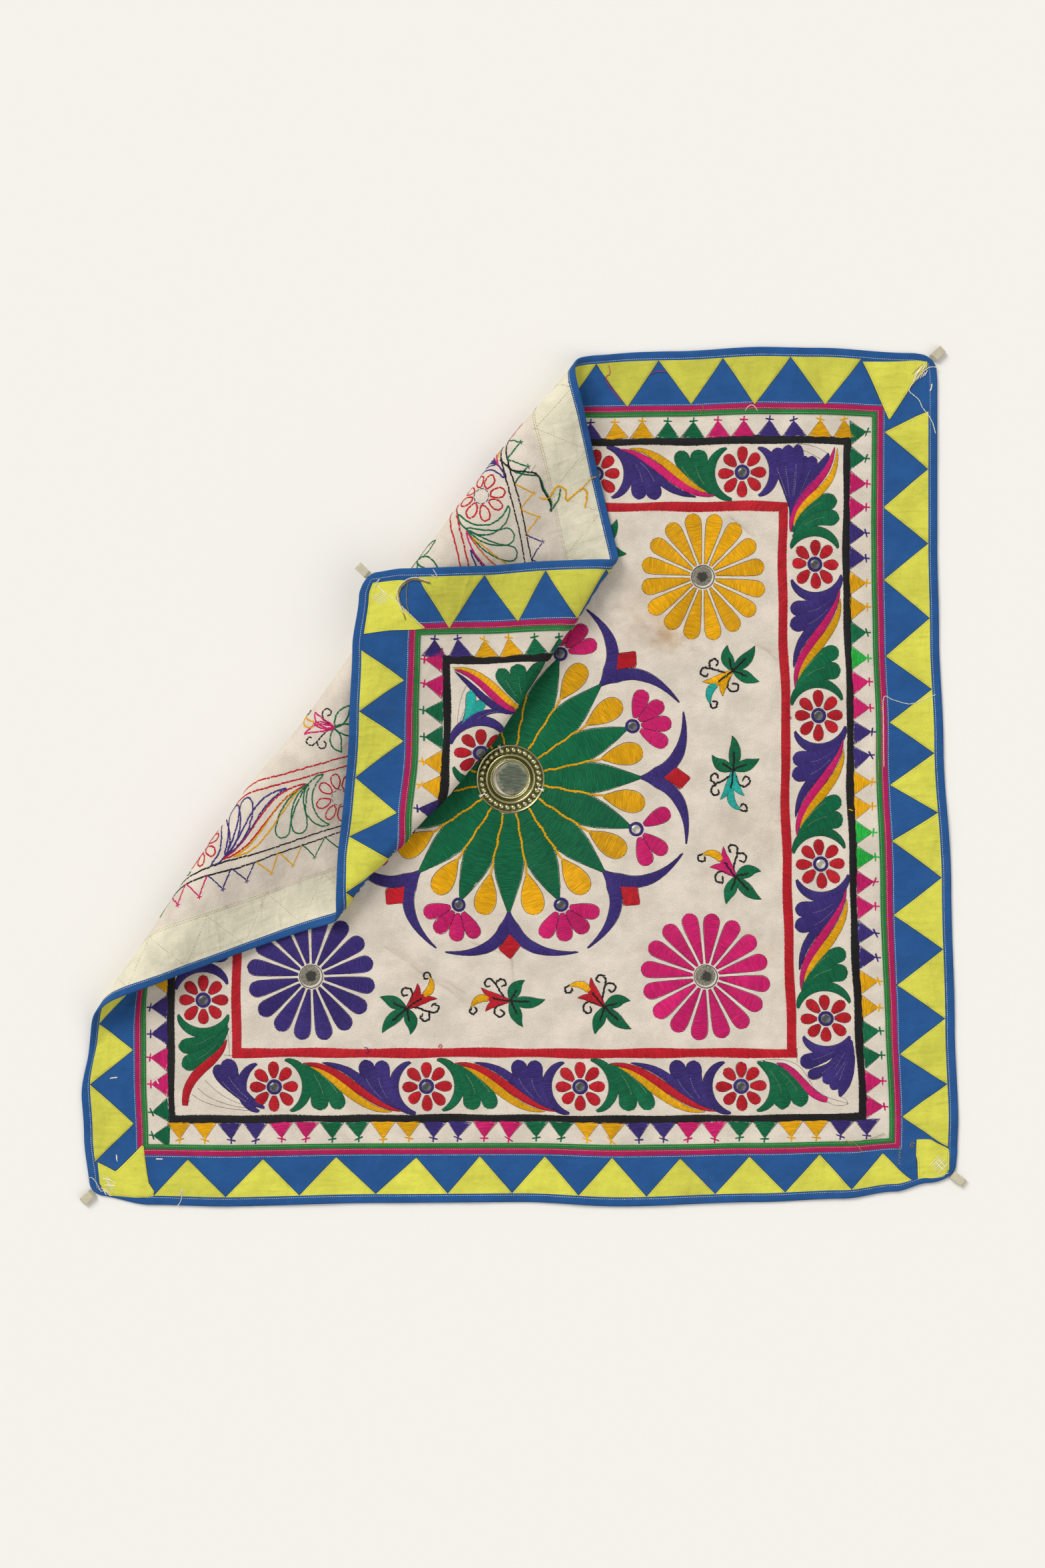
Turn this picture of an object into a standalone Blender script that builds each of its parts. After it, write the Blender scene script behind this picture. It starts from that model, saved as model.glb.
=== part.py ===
"""Square embroidered wall hanging, laid flat with its top-left corner folded back and forth.

World frame: +X is the cloth's right, +Y its top, +Z away from the surface it lies on, origin under
the middle of its box. The design frame (u right, v up) is the cloth laid out flat, with its
origin at the centre of the metal disc. Metres throughout.
"""

import math

import bmesh
import bpy
from mathutils import Vector

MM = 0.001
GAP = 0.3 * MM
SEAM_GAP = 0.6 * MM

# The cloth laid flat, measured from the disc's centre to each outer edge.
EDGE = {"left": -496.0 * MM, "right": 495.0 * MM, "top": 492.5 * MM, "bottom": -489.5 * MM}
BINDING_WIDTH = 11.3 * MM
BORDER_WIDTH = {"left": 51.5 * MM, "right": 52.0 * MM, "top": 52.5 * MM, "bottom": 46.0 * MM}
STRIP_WIDTH = 6.3 * MM
CORNER_RADIUS = 16.0 * MM
CORNER_STEPS = 4

# Heights above the back of the cloth.
GROUND_LAYER = (0.0, 1.5 * MM)
LINING_LAYER = (0.0, 1.2 * MM)
BORDER_LAYER = (1.5 * MM, 2.7 * MM)
STRIP_LAYER = (2.0 * MM, 3.0 * MM)
BINDING_LAYER = (0.0, 3.0 * MM)

# How far each sewn edge lies outside (+) or inside (-) its straight line, by place along the edge.
EDGE_DRIFT = {
    "top": {
        "place": (-0.485, -0.448, -0.353, -0.266, -0.100, 0.100, 0.190, 0.290, 0.355, 0.466, 0.492),
        "drift": (-0.014, -0.010, -0.007, -0.002, 0.001, -0.006, -0.004, 0.001, 0.000, -0.006, -0.009),
    },
    "bottom": {
        "place": (-0.490, -0.423, -0.335, -0.160, 0.013, 0.120, 0.275, 0.370, 0.427, 0.465, 0.505),
        "drift": (-0.012, -0.001, 0.001, -0.003, -0.004, 0.001, -0.004, -0.008, -0.016, -0.026, -0.036),
    },
    "left": {
        "place": (-0.490, -0.414, -0.343, -0.200, 0.000, 0.196, 0.311, 0.400, 0.463, 0.490),
        "drift": (-0.012, -0.005, -0.001, 0.000, 0.003, 0.005, 0.000, -0.004, -0.011, -0.018),
    },
    "right": {
        "place": (-0.485, -0.447, -0.402, -0.288, -0.124, 0.040, 0.163, 0.265, 0.460, 0.490),
        "drift": (0.012, 0.014, 0.015, 0.011, 0.007, -0.002, -0.007, -0.009, -0.009, -0.011),
    },
}
# How steeply that drift dies out from the edge towards the middle.
DRIFT_POWER = {"top": 3.0, "bottom": 5.0, "left": 3.0, "right": 1.3}

# The two folds run side by side across the corner. s is the distance from the first fold's line,
# positive on the flat side, and t runs along the fold, up and to the right.
FOLD_ANGLE = math.radians(-36.8)
FOLD_OFFSET = -227.4 * MM
FOLD_NORMAL = Vector((math.cos(FOLD_ANGLE), math.sin(FOLD_ANGLE)))
FOLD_ALONG = Vector((-FOLD_NORMAL.y, FOLD_NORMAL.x))

# Section across the folds, of the cloth's back: plan distance from the fold line and height.
# It leaves the surface, turns over in a puffy roll, runs face down to the second fold, and comes
# back face up over the roll, past which the corner droops.
FOLD_SECTION = {
    "plan": (60, 38, 20, 3, -5, 1, 16, 38, 66, 98, 130, 154, 168, 173, 166, 148, 120, 88, 58,
             34, 12, -12, -34, -60, -90),
    "height": (0, 0.2, 1.2, 8, 22, 37, 43, 40, 27, 14, 9, 9, 13, 20, 27, 29, 28, 32, 42,
               49, 52, 50, 46, 40, 32),
}
SECTION_STEPS = 24
ROLL_ONE = 62.0 * MM
ROLL_TWO = 278.0 * MM
ROLL_REACH = 120.0 * MM
ROLL_REACH_FLAT_SIDE = 55.0 * MM
ROLL_TURN = 52.0 * MM
# How far each fold bows out of line, by place along it.
FOLD_BOW = {
    "place": (-0.560, -0.440, -0.250, -0.180, -0.110, -0.030, 0.030, 0.160, 0.270, 0.430),
    "first": (0.014, 0.008, -0.001, -0.004, 0.001, 0.000, -0.002, -0.004, -0.003, 0.004),
    "second": (-0.014, -0.013, -0.013, -0.011, -0.001, 0.007, 0.010, 0.004, -0.002, -0.006),
}
CORNER_SLIP = -10.5 * MM

# Soft ridges that lift the flat part: middle, heading, half length, half width and height.
RIDGES = {
    "middle": ((-0.060, -0.150), (0.330, 0.400), (0.130, 0.440), (0.440, -0.060), (-0.330, -0.440),
               (0.210, -0.420), (0.425, 0.250)),
    "heading_deg": (-54, 35, 80, 10, 70, -60, -25),
    "half_length": (0.120, 0.090, 0.060, 0.090, 0.060, 0.070, 0.070),
    "half_width": (0.035, 0.032, 0.035, 0.040, 0.035, 0.035, 0.035),
    "height": (0.0045, 0.004, 0.004, 0.003, 0.003, 0.003, 0.0035),
}

# The sheets are cut on a square grid where they lie flat, and along and across the folds elsewhere.
GRID_PITCH = 55.0 * MM
GRID_ROWS = 9
FOLD_PITCH = 16.0 * MM
ROLL_PITCH = 6.5 * MM
FOLD_ALONG_PITCH = 70.0 * MM
FOLD_ALONG_ROWS = 11
SAME_POINT = 1e-7
WORLD_SHIFT = Vector((-0.01169, -0.00211, 0.0))

# The metal ring's section in millimetres: up its hole, over its beads to the rolled rim, and back.
DISC_PROFILE = {
    "radius": (19.6, 19.6, 21.5, 23.5, 26.0, 28.0, 33.0, 36.5, 38.0, 39.4, 39.4, 37.5, 36.5, 28.0, 22.0),
    "height": (0.4, 3.0, 3.2, 2.3, 2.6, 1.8, 2.0, 1.6, 2.4, 1.6, 0.3, 0.0, 0.6, 0.6, 0.4),
}
DISC_MIRROR_RADIUS = 19.2 * MM
DISC_MIRROR = (0.4 * MM, 2.2 * MM)
DISC_LIFT = 1.9 * MM
ROUND_STEPS = 48

ROSETTE_MIRROR_RADIUS = 12.5 * MM
ROSETTE_MIRROR_HEIGHT = 1.2 * MM
ROSETTES = {
    "name": ("top_right", "bottom_right", "bottom_left"),
    "centre": ((0.2207, 0.2305), (0.2181, -0.2273), (-0.2309, -0.2273)),
}

LOOP_TAPE = 0.9 * MM
LOOP_WIDTH = 9.3 * MM
LOOP_LENGTH = 17.3 * MM
LOOP_EYE = 4.4 * MM
LOOP_END_STEPS = 6
# The upper leg leaves the binding between these heights and is level from the shoulder on.
LOOP_ROOT = (1.5 * MM, 2.6 * MM)
LOOP_SHOULDER = 3.1 * MM
# The corner that each hanging loop leaves, and its heading.
LOOPS = {
    "corner": (("right", "top"), ("right", "bottom"), ("left", "bottom"), ("left", "top")),
    "heading_deg": (43, -36, 223, 136),
}
LOOP_CLEARANCE = 0.6 * MM

COLOURS = {
    "ground": (0.72, 0.63, 0.52), "lining": (0.76, 0.70, 0.58), "border": (0.02, 0.10, 0.30),
    "pink": (0.45, 0.02, 0.10), "green": (0.02, 0.22, 0.05), "binding": (0.02, 0.11, 0.33),
    "tape": (0.68, 0.58, 0.42), "brass": (0.42, 0.38, 0.16), "mirror": (0.80, 0.82, 0.82),
}


def clear_scene():
    for thing in list(bpy.data.objects):
        bpy.data.objects.remove(thing, do_unlink=True)


def make_material(name, roughness, metallic=0.0):
    found = bpy.data.materials.get(name)
    if found:
        return found
    made = bpy.data.materials.new(name)
    made.use_nodes = True
    shader = made.node_tree.nodes["Principled BSDF"]
    shader.inputs["Base Color"].default_value = (*COLOURS[name], 1.0)
    shader.inputs["Roughness"].default_value = roughness
    shader.inputs["Metallic"].default_value = metallic
    return made


def add_object(name, mesh_maker, material):
    mesh = bpy.data.meshes.new(name)
    mesh_maker.normal_update()
    mesh_maker.to_mesh(mesh)
    mesh_maker.free()
    mesh.materials.append(material)
    made = bpy.data.objects.new(name, mesh)
    bpy.context.scene.collection.objects.link(made)
    return made


def interpolate(places, values, at):
    """Smoothly joined values at places in rising order, held level past both ends."""
    if at <= places[0]:
        return values[0]
    for here, there, low, high in zip(places, places[1:], values, values[1:]):
        if at <= there:
            share = (at - here) / (there - here)
            return low + (high - low) * share * share * (3.0 - 2.0 * share)
    return values[-1]


def drift(side, along, out):
    """How far the cloth has drifted outward at one place, for one side."""
    table = EDGE_DRIFT[side]
    reach = max(out / EDGE[side], 0.0)
    return interpolate(table["place"], table["drift"], along) * min(reach, 1.1) ** DRIFT_POWER[side]


def warp(u, v):
    """The true plan of the sewn cloth, from the straight design."""
    across = drift("right", v, u) - drift("left", v, u)
    upward = drift("top", u, v) - drift("bottom", u, v)
    return Vector((u + across, v + upward))


def curve_point(before, here, there, after, share):
    """Catmull-Rom between two section points."""
    return 0.5 * (
        2.0 * here + (there - before) * share
        + (2.0 * before - 5.0 * here + 4.0 * there - after) * share ** 2
        + (3.0 * here - before - 3.0 * there + after) * share ** 3
    )


def trace_section():
    """The fold section as points with their distance along it."""
    rows = [Vector(row) * MM for row in zip(FOLD_SECTION["plan"], FOLD_SECTION["height"])]
    rows = [2.0 * rows[0] - rows[1], *rows, 2.0 * rows[-1] - rows[-2]]
    points = []
    for i in range(1, len(rows) - 2):
        for step in range(SECTION_STEPS):
            points.append(curve_point(*rows[i - 1:i + 3], step / SECTION_STEPS))
    lengths = [0.0]
    for here, there in zip(points, points[1:]):
        lengths.append(lengths[-1] + (there - here).length)
    return points, lengths


SECTION_POINTS, SECTION_LENGTHS = trace_section()
SECTION_START = SECTION_POINTS[0].x


def section_at(length):
    """Place and heading on the fold section, at a distance from where it leaves the surface."""
    low, high = 0, len(SECTION_LENGTHS) - 2
    while low < high:
        middle = (low + high + 1) // 2
        if SECTION_LENGTHS[middle] <= length:
            low = middle
        else:
            high = middle - 1
    span = SECTION_LENGTHS[low + 1] - SECTION_LENGTHS[low]
    heading = (SECTION_POINTS[low + 1] - SECTION_POINTS[low]) / span
    return SECTION_POINTS[low] + heading * (length - SECTION_LENGTHS[low]), heading


def bump(distance, reach):
    """One at the middle, falling smoothly to nothing at the reach."""
    share = min(abs(distance) / reach, 1.0)
    return (1.0 - share * share) ** 2


def lift(plan):
    """Height of the soft ridges at a place on the flat part."""
    height = 0.0
    for middle, heading, length, width, top in zip(*RIDGES.values()):
        offset = plan - Vector(middle)
        turn = math.radians(heading)
        along = offset.x * math.cos(turn) + offset.y * math.sin(turn)
        aside = offset.y * math.cos(turn) - offset.x * math.sin(turn)
        height += top * bump(along, length) * bump(aside, width)
    return height


def place(u, v, w):
    """World position of the design's point (u, v) at height w above the cloth's back."""
    plan = warp(u, v)
    s = fold_distance(plan)
    t = plan.dot(FOLD_ALONG)
    if s >= SECTION_START:
        return Vector((plan.x, plan.y, lift(plan) + w)) + WORLD_SHIFT
    length = SECTION_START - s
    spot, heading = section_at(length)
    reach = ROLL_REACH if length > ROLL_ONE else ROLL_REACH_FLAT_SIDE
    bow = interpolate(FOLD_BOW["place"], FOLD_BOW["first"], t) * bump(length - ROLL_ONE, reach)
    bow += interpolate(FOLD_BOW["place"], FOLD_BOW["second"], t) * bump(length - ROLL_TWO, ROLL_REACH)
    slip = CORNER_SLIP * min(max((length - ROLL_ONE) / (ROLL_TWO - ROLL_ONE), 0.0), 1.0)
    across = spot.x + bow + w * heading.y
    flat = FOLD_NORMAL * (across + FOLD_OFFSET) + FOLD_ALONG * (t + slip)
    return Vector((flat.x, flat.y, spot.y - w * heading.x)) + WORLD_SHIFT


def fold_distance(plan):
    return plan.dot(FOLD_NORMAL) - FOLD_OFFSET


def cut(shape, normal, distance, folded):
    """Cut the flat or the folded part of a sheet along one straight line."""
    faces = [f for f in shape.faces
             if (fold_distance(f.calc_center_median().xy) < SECTION_START) == folded]
    edges = {edge for face in faces for edge in face.edges}
    verts = {vert for face in faces for vert in face.verts}
    bmesh.ops.bisect_plane(shape, geom=[*faces, *edges, *verts], dist=SAME_POINT,
                           plane_co=(*(normal * distance), 0.0), plane_no=(*normal, 0.0))


def fold_rows():
    """Distances of the cuts along the folds, closer where the cloth turns over."""
    rows, length = [], 0.0
    while length < SECTION_LENGTHS[-1]:
        rows.append(SECTION_START - length)
        turning = min(abs(length - ROLL_ONE), abs(length - ROLL_TWO)) < ROLL_TURN
        length += ROLL_PITCH if turning else FOLD_PITCH
    return rows


def cut_sheet(shape):
    start = FOLD_OFFSET + SECTION_START
    bisect_all = [*shape.faces, *shape.edges, *shape.verts]
    bmesh.ops.bisect_plane(shape, geom=bisect_all, dist=SAME_POINT, plane_co=(*(FOLD_NORMAL * start), 0.0),
                           plane_no=(*FOLD_NORMAL, 0.0))
    for s in fold_rows()[1:]:
        cut(shape, FOLD_NORMAL, s + FOLD_OFFSET, True)
    for row in range(-FOLD_ALONG_ROWS, FOLD_ALONG_ROWS + 1):
        cut(shape, FOLD_ALONG, row * FOLD_ALONG_PITCH, True)
    seams = inset_corners(widths(BINDING_WIDTH, BORDER_WIDTH, STRIP_WIDTH * 2.0))
    grid = [row * GRID_PITCH for row in range(-GRID_ROWS, GRID_ROWS + 1)]
    for distance in [*grid, seams["left"][0][0], seams["right"][0][0]]:
        cut(shape, Vector((1.0, 0.0)), distance, False)
    for distance in [*grid, seams["bottom"][0][1], seams["top"][0][1]]:
        cut(shape, Vector((0.0, 1.0)), distance, False)


def add_cloth(name, outline, layer, material):
    """A sheet cut to a flat outline, folded with the cloth, between two heights above its back."""
    shape = bmesh.new()
    shape.faces.new([shape.verts.new((u, v, 0.0)) for u, v in outline])
    cut_sheet(shape)
    bmesh.ops.triangulate(shape, faces=shape.faces[:])
    shape.verts.index_update()
    flat = [vert.co.copy() for vert in shape.verts]
    faces = [[vert.index for vert in face.verts] for face in shape.faces]
    rim = [[vert.index for vert in e.verts] for e in shape.edges if len(e.link_faces) == 1]
    shape.free()
    solid = bmesh.new()
    back, front = ([solid.verts.new(place(c.x, c.y, height)) for c in flat] for height in layer)
    for face in faces:
        solid.faces.new([front[i] for i in face])
        solid.faces.new([back[i] for i in reversed(face)])
    for a, b in (sorted(pair, key=lambda i: fold_distance(flat[i].xy)) for pair in rim):
        solid.faces.new((back[a], back[b], front[b]))
        solid.faces.new((back[a], front[b], front[a]))
    bmesh.ops.recalc_face_normals(solid, faces=solid.faces[:])
    return add_object(name, solid, material)


def inset_corners(inner):
    """The rectangle whose sides lie at the given distances inside the edges, from bottom left."""
    left = EDGE["left"] + inner["left"]
    right = EDGE["right"] - inner["right"]
    top = EDGE["top"] - inner["top"]
    bottom = EDGE["bottom"] + inner["bottom"]
    return {
        "bottom": ((left, bottom), (right, bottom)), "right": ((right, bottom), (right, top)),
        "top": ((right, top), (left, top)), "left": ((left, top), (left, bottom)),
    }


def mitred(side, outer, inner):
    """A strip along one side between two insets, with its ends mitred and a gap at each mitre."""
    a, b = (Vector(corner) for corner in inset_corners(outer)[side])
    d, c = (Vector(corner) for corner in inset_corners(inner)[side])
    back = (b - a).normalized() * GAP * 0.75
    return [a + back, b - back, c - back, d + back]


def rounded(side, strip, radius):
    """The same strip with its outer corners rounded, each side taking half of the turn."""
    a, b, c, d = strip
    along = (b - a).normalized()
    inward = Vector((-along.y, along.x))
    start, end = a + along * radius + inward * radius, b - along * radius + inward * radius
    arc = [math.radians(45.0 * step / CORNER_STEPS) for step in range(CORNER_STEPS + 1)]
    first = [start - inward * radius * math.cos(x) - along * radius * math.sin(x) for x in reversed(arc)]
    last = [end - inward * radius * math.cos(x) + along * radius * math.sin(x) for x in arc]
    return [*first, *last, c, d]


def widths(*bands):
    """The inset of each side after the given bands, each a number or a number by side."""
    return {side: sum(b[side] if isinstance(b, dict) else b for b in bands) for side in EDGE}


def build_edges():
    lining = make_material("lining", 0.9)
    border = make_material("border", 0.85)
    pink = make_material("pink", 0.85)
    green = make_material("green", 0.85)
    binding = make_material("binding", 0.8)
    edge = widths(0.0)
    bound = widths(BINDING_WIDTH)
    inside = widths(BINDING_WIDTH, BORDER_WIDTH)
    for side in EDGE:
        add_cloth(f"binding_{side}", rounded(side, mitred(side, edge, bound), CORNER_RADIUS),
                  BINDING_LAYER, binding)
        band = mitred(side, widths(bound, SEAM_GAP), inside)
        add_cloth(f"border_{side}", band, BORDER_LAYER, border)
        add_cloth(f"lining_{side}", band, LINING_LAYER, lining)
        add_cloth(f"pink_strip_{side}", mitred(side, widths(inside, GAP), widths(inside, STRIP_WIDTH)),
                  STRIP_LAYER, pink)
        add_cloth(f"green_strip_{side}",
                  mitred(side, widths(inside, STRIP_WIDTH, GAP), widths(inside, STRIP_WIDTH * 2.0)),
                  STRIP_LAYER, green)


def build_ground():
    corners = inset_corners(widths(BINDING_WIDTH, BORDER_WIDTH, SEAM_GAP))
    outline = [corners[side][0] for side in ("bottom", "right", "top", "left")]
    add_cloth("ground_cloth", outline, GROUND_LAYER, make_material("ground", 0.9))


def turned(name, profile, centre, material):
    """A closed ring or disc turned about a vertical axis from (radius, height) corners."""
    shape = bmesh.new()
    corners = [shape.verts.new((radius, 0.0, height)) for radius, height in profile]
    edges = [shape.edges.new(pair) for pair in zip(corners, corners[1:] + corners[:1])]
    if profile[0][0] == 0.0:
        shape.edges.remove(edges[-1])
        edges.pop()
    bmesh.ops.spin(shape, geom=corners + edges, axis=(0.0, 0.0, 1.0), cent=(0.0, 0.0, 0.0),
                   angle=math.tau, steps=ROUND_STEPS, use_merge=True, use_duplicate=False)
    bmesh.ops.remove_doubles(shape, verts=shape.verts[:], dist=1e-6)
    bmesh.ops.triangulate(shape, faces=shape.faces[:])
    bmesh.ops.recalc_face_normals(shape, faces=shape.faces[:])
    made = add_object(name, shape, material)
    made.location = centre
    made.data.shade_smooth()
    made.data.set_sharp_from_angle(angle=math.radians(35.0))
    return made


def build_disc():
    """The stamped brass disc, with a raised lip round its centre mirror."""
    centre = place(0.0, 0.0, DISC_LIFT)
    profile = [(radius * MM, height * MM) for radius, height in zip(*DISC_PROFILE.values())]
    turned("disc_ring", profile, centre, make_material("brass", 0.3, 1.0))
    back, front = DISC_MIRROR
    glass = [(0.0, back), (DISC_MIRROR_RADIUS, back), (DISC_MIRROR_RADIUS, front), (0.0, front)]
    turned("disc_mirror", glass, centre, make_material("mirror", 0.05, 1.0))


def build_rosette_mirrors():
    """The mirrors of the three corner rosettes that show."""
    profile = [
        (0.0, 0.0), (ROSETTE_MIRROR_RADIUS, 0.0), (ROSETTE_MIRROR_RADIUS, ROSETTE_MIRROR_HEIGHT * 0.7),
        (ROSETTE_MIRROR_RADIUS * 0.9, ROSETTE_MIRROR_HEIGHT), (0.0, ROSETTE_MIRROR_HEIGHT),
    ]
    for name, (u, v) in zip(*ROSETTES.values()):
        turned(f"rosette_mirror_{name}", profile, place(u, v, GROUND_LAYER[1] + GAP),
               make_material("mirror", 0.05, 1.0))


def loop_outline():
    """Side view of a hanging loop: out along the surface, round its eye and back to the binding."""
    near, far, half = GAP, LOOP_LENGTH, LOOP_EYE / 2.0
    middle = LOOP_TAPE + half
    turn_at = far - half - LOOP_TAPE
    angles = [math.radians(-90.0 + 180.0 * step / LOOP_END_STEPS) for step in range(LOOP_END_STEPS + 1)]
    outer = [(turn_at + (half + LOOP_TAPE) * math.cos(a), middle + (half + LOOP_TAPE) * math.sin(a))
             for a in angles]
    inner = [(turn_at + half * math.cos(a), middle + half * math.sin(a)) for a in reversed(angles)]
    height = LOOP_EYE + 2.0 * LOOP_TAPE
    return (
        [(near, 0.0)] + outer + [(LOOP_SHOULDER, height), (near, LOOP_ROOT[1])]
        + [(near, LOOP_ROOT[0]), (LOOP_SHOULDER, height - LOOP_TAPE)] + inner + [(near, LOOP_TAPE)]
    )


def build_loops():
    tape = make_material("tape", 0.9)
    inside = CORNER_RADIUS * (1.0 - math.sqrt(0.5))
    for (side, end), heading_deg in zip(*LOOPS.values()):
        heading = math.radians(heading_deg)
        u = EDGE[side] - math.copysign(inside, EDGE[side])
        v = EDGE[end] - math.copysign(inside, EDGE[end])
        root = place(u, v, 0.0) + Vector((math.cos(heading), math.sin(heading), 0.0)) * LOOP_CLEARANCE
        shape = bmesh.new()
        corners = [shape.verts.new((a, -LOOP_WIDTH / 2.0, z)) for a, z in loop_outline()]
        face = shape.faces.new(corners)
        swept = bmesh.ops.extrude_face_region(shape, geom=[face])
        far = [item for item in swept["geom"] if isinstance(item, bmesh.types.BMVert)]
        bmesh.ops.translate(shape, verts=far, vec=(0.0, LOOP_WIDTH, 0.0))
        bmesh.ops.triangulate(shape, faces=shape.faces[:])
        bmesh.ops.recalc_face_normals(shape, faces=shape.faces[:])
        made = add_object(f"loop_{end}_{side}", shape, tape)
        made.location = root
        made.rotation_euler = (0.0, 0.0, heading)


def main():
    clear_scene()
    build_ground()
    build_edges()
    build_disc()
    build_rosette_mirrors()
    build_loops()


main()
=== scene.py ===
"""Looks of the square embroidered wall hanging, lying flat with its top-left corner folded back.

Cloth, stitches and trimmings are all made in the design frame (u right, v up, height above the
cloth's back, origin at the metal disc's centre) and then laid along the folded cloth by place().
"""

import math

import bmesh
import bpy
import numpy as np
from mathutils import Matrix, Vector


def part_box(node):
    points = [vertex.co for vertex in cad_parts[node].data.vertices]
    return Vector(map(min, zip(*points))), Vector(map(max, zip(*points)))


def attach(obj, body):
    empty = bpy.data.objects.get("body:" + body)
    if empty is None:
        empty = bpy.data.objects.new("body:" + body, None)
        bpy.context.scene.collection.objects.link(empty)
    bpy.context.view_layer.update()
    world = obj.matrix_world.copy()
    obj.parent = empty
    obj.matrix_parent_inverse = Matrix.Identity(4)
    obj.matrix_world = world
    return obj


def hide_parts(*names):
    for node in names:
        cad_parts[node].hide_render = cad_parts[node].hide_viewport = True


MM = 0.001
# One pixel of the photograph on the cloth, and the disc's centre in the photograph.
PIXEL = 0.7634 * MM
PHOTO_CENTRE = (769.5, 1167.0)

SIDES = ("top", "right", "bottom", "left")
EDGE = {"left": -496.0 * MM, "right": 495.0 * MM, "top": 492.5 * MM, "bottom": -489.5 * MM}
BINDING = 11.3 * MM
BORDER = {"left": 51.5 * MM, "right": 52.0 * MM, "top": 52.5 * MM, "bottom": 46.0 * MM}
STRIP = 6.3 * MM
PINK_WIDTH = 6.9 * MM
CORNER_RADIUS = 16.0 * MM
GROUND_TOP = 1.5 * MM
BORDER_TOP = 2.7 * MM
# Distances inward from where the ground cloth starts.
BLACK_BAND = (24.7 * MM, 33.1 * MM)
VINE_BAND = (33.1 * MM, 98.8 * MM)
RED_BAND = (99.3 * MM, 109.6 * MM)

EDGE_DRIFT = {
    "top": {
        "place": (-0.485, -0.448, -0.353, -0.266, -0.100, 0.100, 0.190, 0.290, 0.355, 0.466, 0.492),
        "drift": (-0.014, -0.010, -0.007, -0.002, 0.001, -0.006, -0.004, 0.001, 0.000, -0.006, -0.009),
    },
    "bottom": {
        "place": (-0.490, -0.423, -0.335, -0.160, 0.013, 0.120, 0.275, 0.370, 0.427, 0.465, 0.505),
        "drift": (-0.012, -0.001, 0.001, -0.003, -0.004, 0.001, -0.004, -0.008, -0.016, -0.026, -0.036),
    },
    "left": {
        "place": (-0.490, -0.414, -0.343, -0.200, 0.000, 0.196, 0.311, 0.400, 0.463, 0.490),
        "drift": (-0.012, -0.005, -0.001, 0.000, 0.003, 0.005, 0.000, -0.004, -0.011, -0.018),
    },
    "right": {
        "place": (-0.485, -0.447, -0.402, -0.288, -0.124, 0.040, 0.163, 0.265, 0.460, 0.490),
        "drift": (0.012, 0.014, 0.015, 0.011, 0.007, -0.002, -0.007, -0.009, -0.009, -0.011),
    },
}
DRIFT_POWER = {"top": 3.0, "bottom": 5.0, "left": 3.0, "right": 1.3}

# Where the embroidery has drawn the cloth out of its straight design: middle, reach and how far.
PULLS = (
    ((0.400, -0.120), 0.250, (-0.0052, -0.0008)), ((0.440, 0.240), 0.250, (-0.0021, -0.0015)),
    ((0.000, -0.120), 0.170, (-0.0048, -0.0052)), ((0.080, 0.075), 0.170, (-0.0048, 0.0012)),
    ((-0.380, 0.370), 0.200, (0.0040, -0.0045)),
)
HELD_RIM = 10.0 * MM
PULL_GROWTH = 90.0 * MM

FOLD_ANGLE = math.radians(-36.8)
FOLD_OFFSET = -227.4 * MM
FOLD_NORMAL = np.array((math.cos(FOLD_ANGLE), math.sin(FOLD_ANGLE)))
FOLD_ALONG = np.array((-FOLD_NORMAL[1], FOLD_NORMAL[0]))
FOLD_SECTION = {
    "plan": (60, 38, 20, 3, -5, 1, 16, 38, 66, 98, 130, 154, 168, 173, 166, 148, 120, 88, 58,
             34, 12, -12, -34, -60, -90),
    "height": (0, 0.2, 1.2, 8, 22, 37, 43, 40, 27, 14, 9, 9, 13, 20, 27, 29, 28, 32, 42,
               49, 52, 50, 46, 40, 32),
}
SECTION_STEPS = 24
ROLL_ONE = 62.0 * MM
ROLL_TWO = 278.0 * MM
ROLL_REACH = 120.0 * MM
ROLL_REACH_FLAT_SIDE = 55.0 * MM
FOLD_BOW = {
    "place": (-0.560, -0.440, -0.250, -0.180, -0.110, -0.030, 0.030, 0.160, 0.270, 0.430),
    "first": (0.014, 0.008, -0.001, -0.004, 0.001, 0.000, -0.002, -0.004, -0.003, 0.004),
    "second": (-0.014, -0.013, -0.013, -0.011, -0.001, 0.007, 0.010, 0.004, -0.002, -0.006),
}
CORNER_SLIP = -10.5 * MM
RIDGES = {
    "middle": ((-0.060, -0.150), (0.330, 0.400), (0.130, 0.440), (0.440, -0.060), (-0.330, -0.440),
               (0.210, -0.420), (0.425, 0.250)),
    "heading_deg": (-54, 35, 80, 10, 70, -60, -25),
    "half_length": (0.120, 0.090, 0.060, 0.090, 0.060, 0.070, 0.070),
    "half_width": (0.035, 0.032, 0.035, 0.040, 0.035, 0.035, 0.035),
    "height": (0.0045, 0.004, 0.004, 0.003, 0.003, 0.003, 0.0035),
}
RIDGE_FADE = 35.0 * MM
WORLD_SHIFT = np.array((-0.01169, -0.00211, 0.0))

# Thread colours as they look in the photograph, in sRGB.
THREADS = {
    "green": (11, 101, 64), "yellow": (219, 160, 4), "purple": (58, 44, 113), "pink": (196, 27, 101),
    "red": (182, 26, 38), "black": (29, 27, 28), "turquoise": (36, 165, 153),
    "bright_green": (38, 176, 66), "ink": (17, 17, 42), "white": (240, 233, 214),
    "tan": (150, 130, 74),
}
CLOTHS = {
    "ground": (224, 212, 196), "lining": (230, 223, 197), "blue": (38, 87, 146),
    "yellow": (222, 219, 84), "pink": (174, 29, 86), "green": (38, 122, 58),
    "tape": (206, 198, 172),
}

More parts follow.
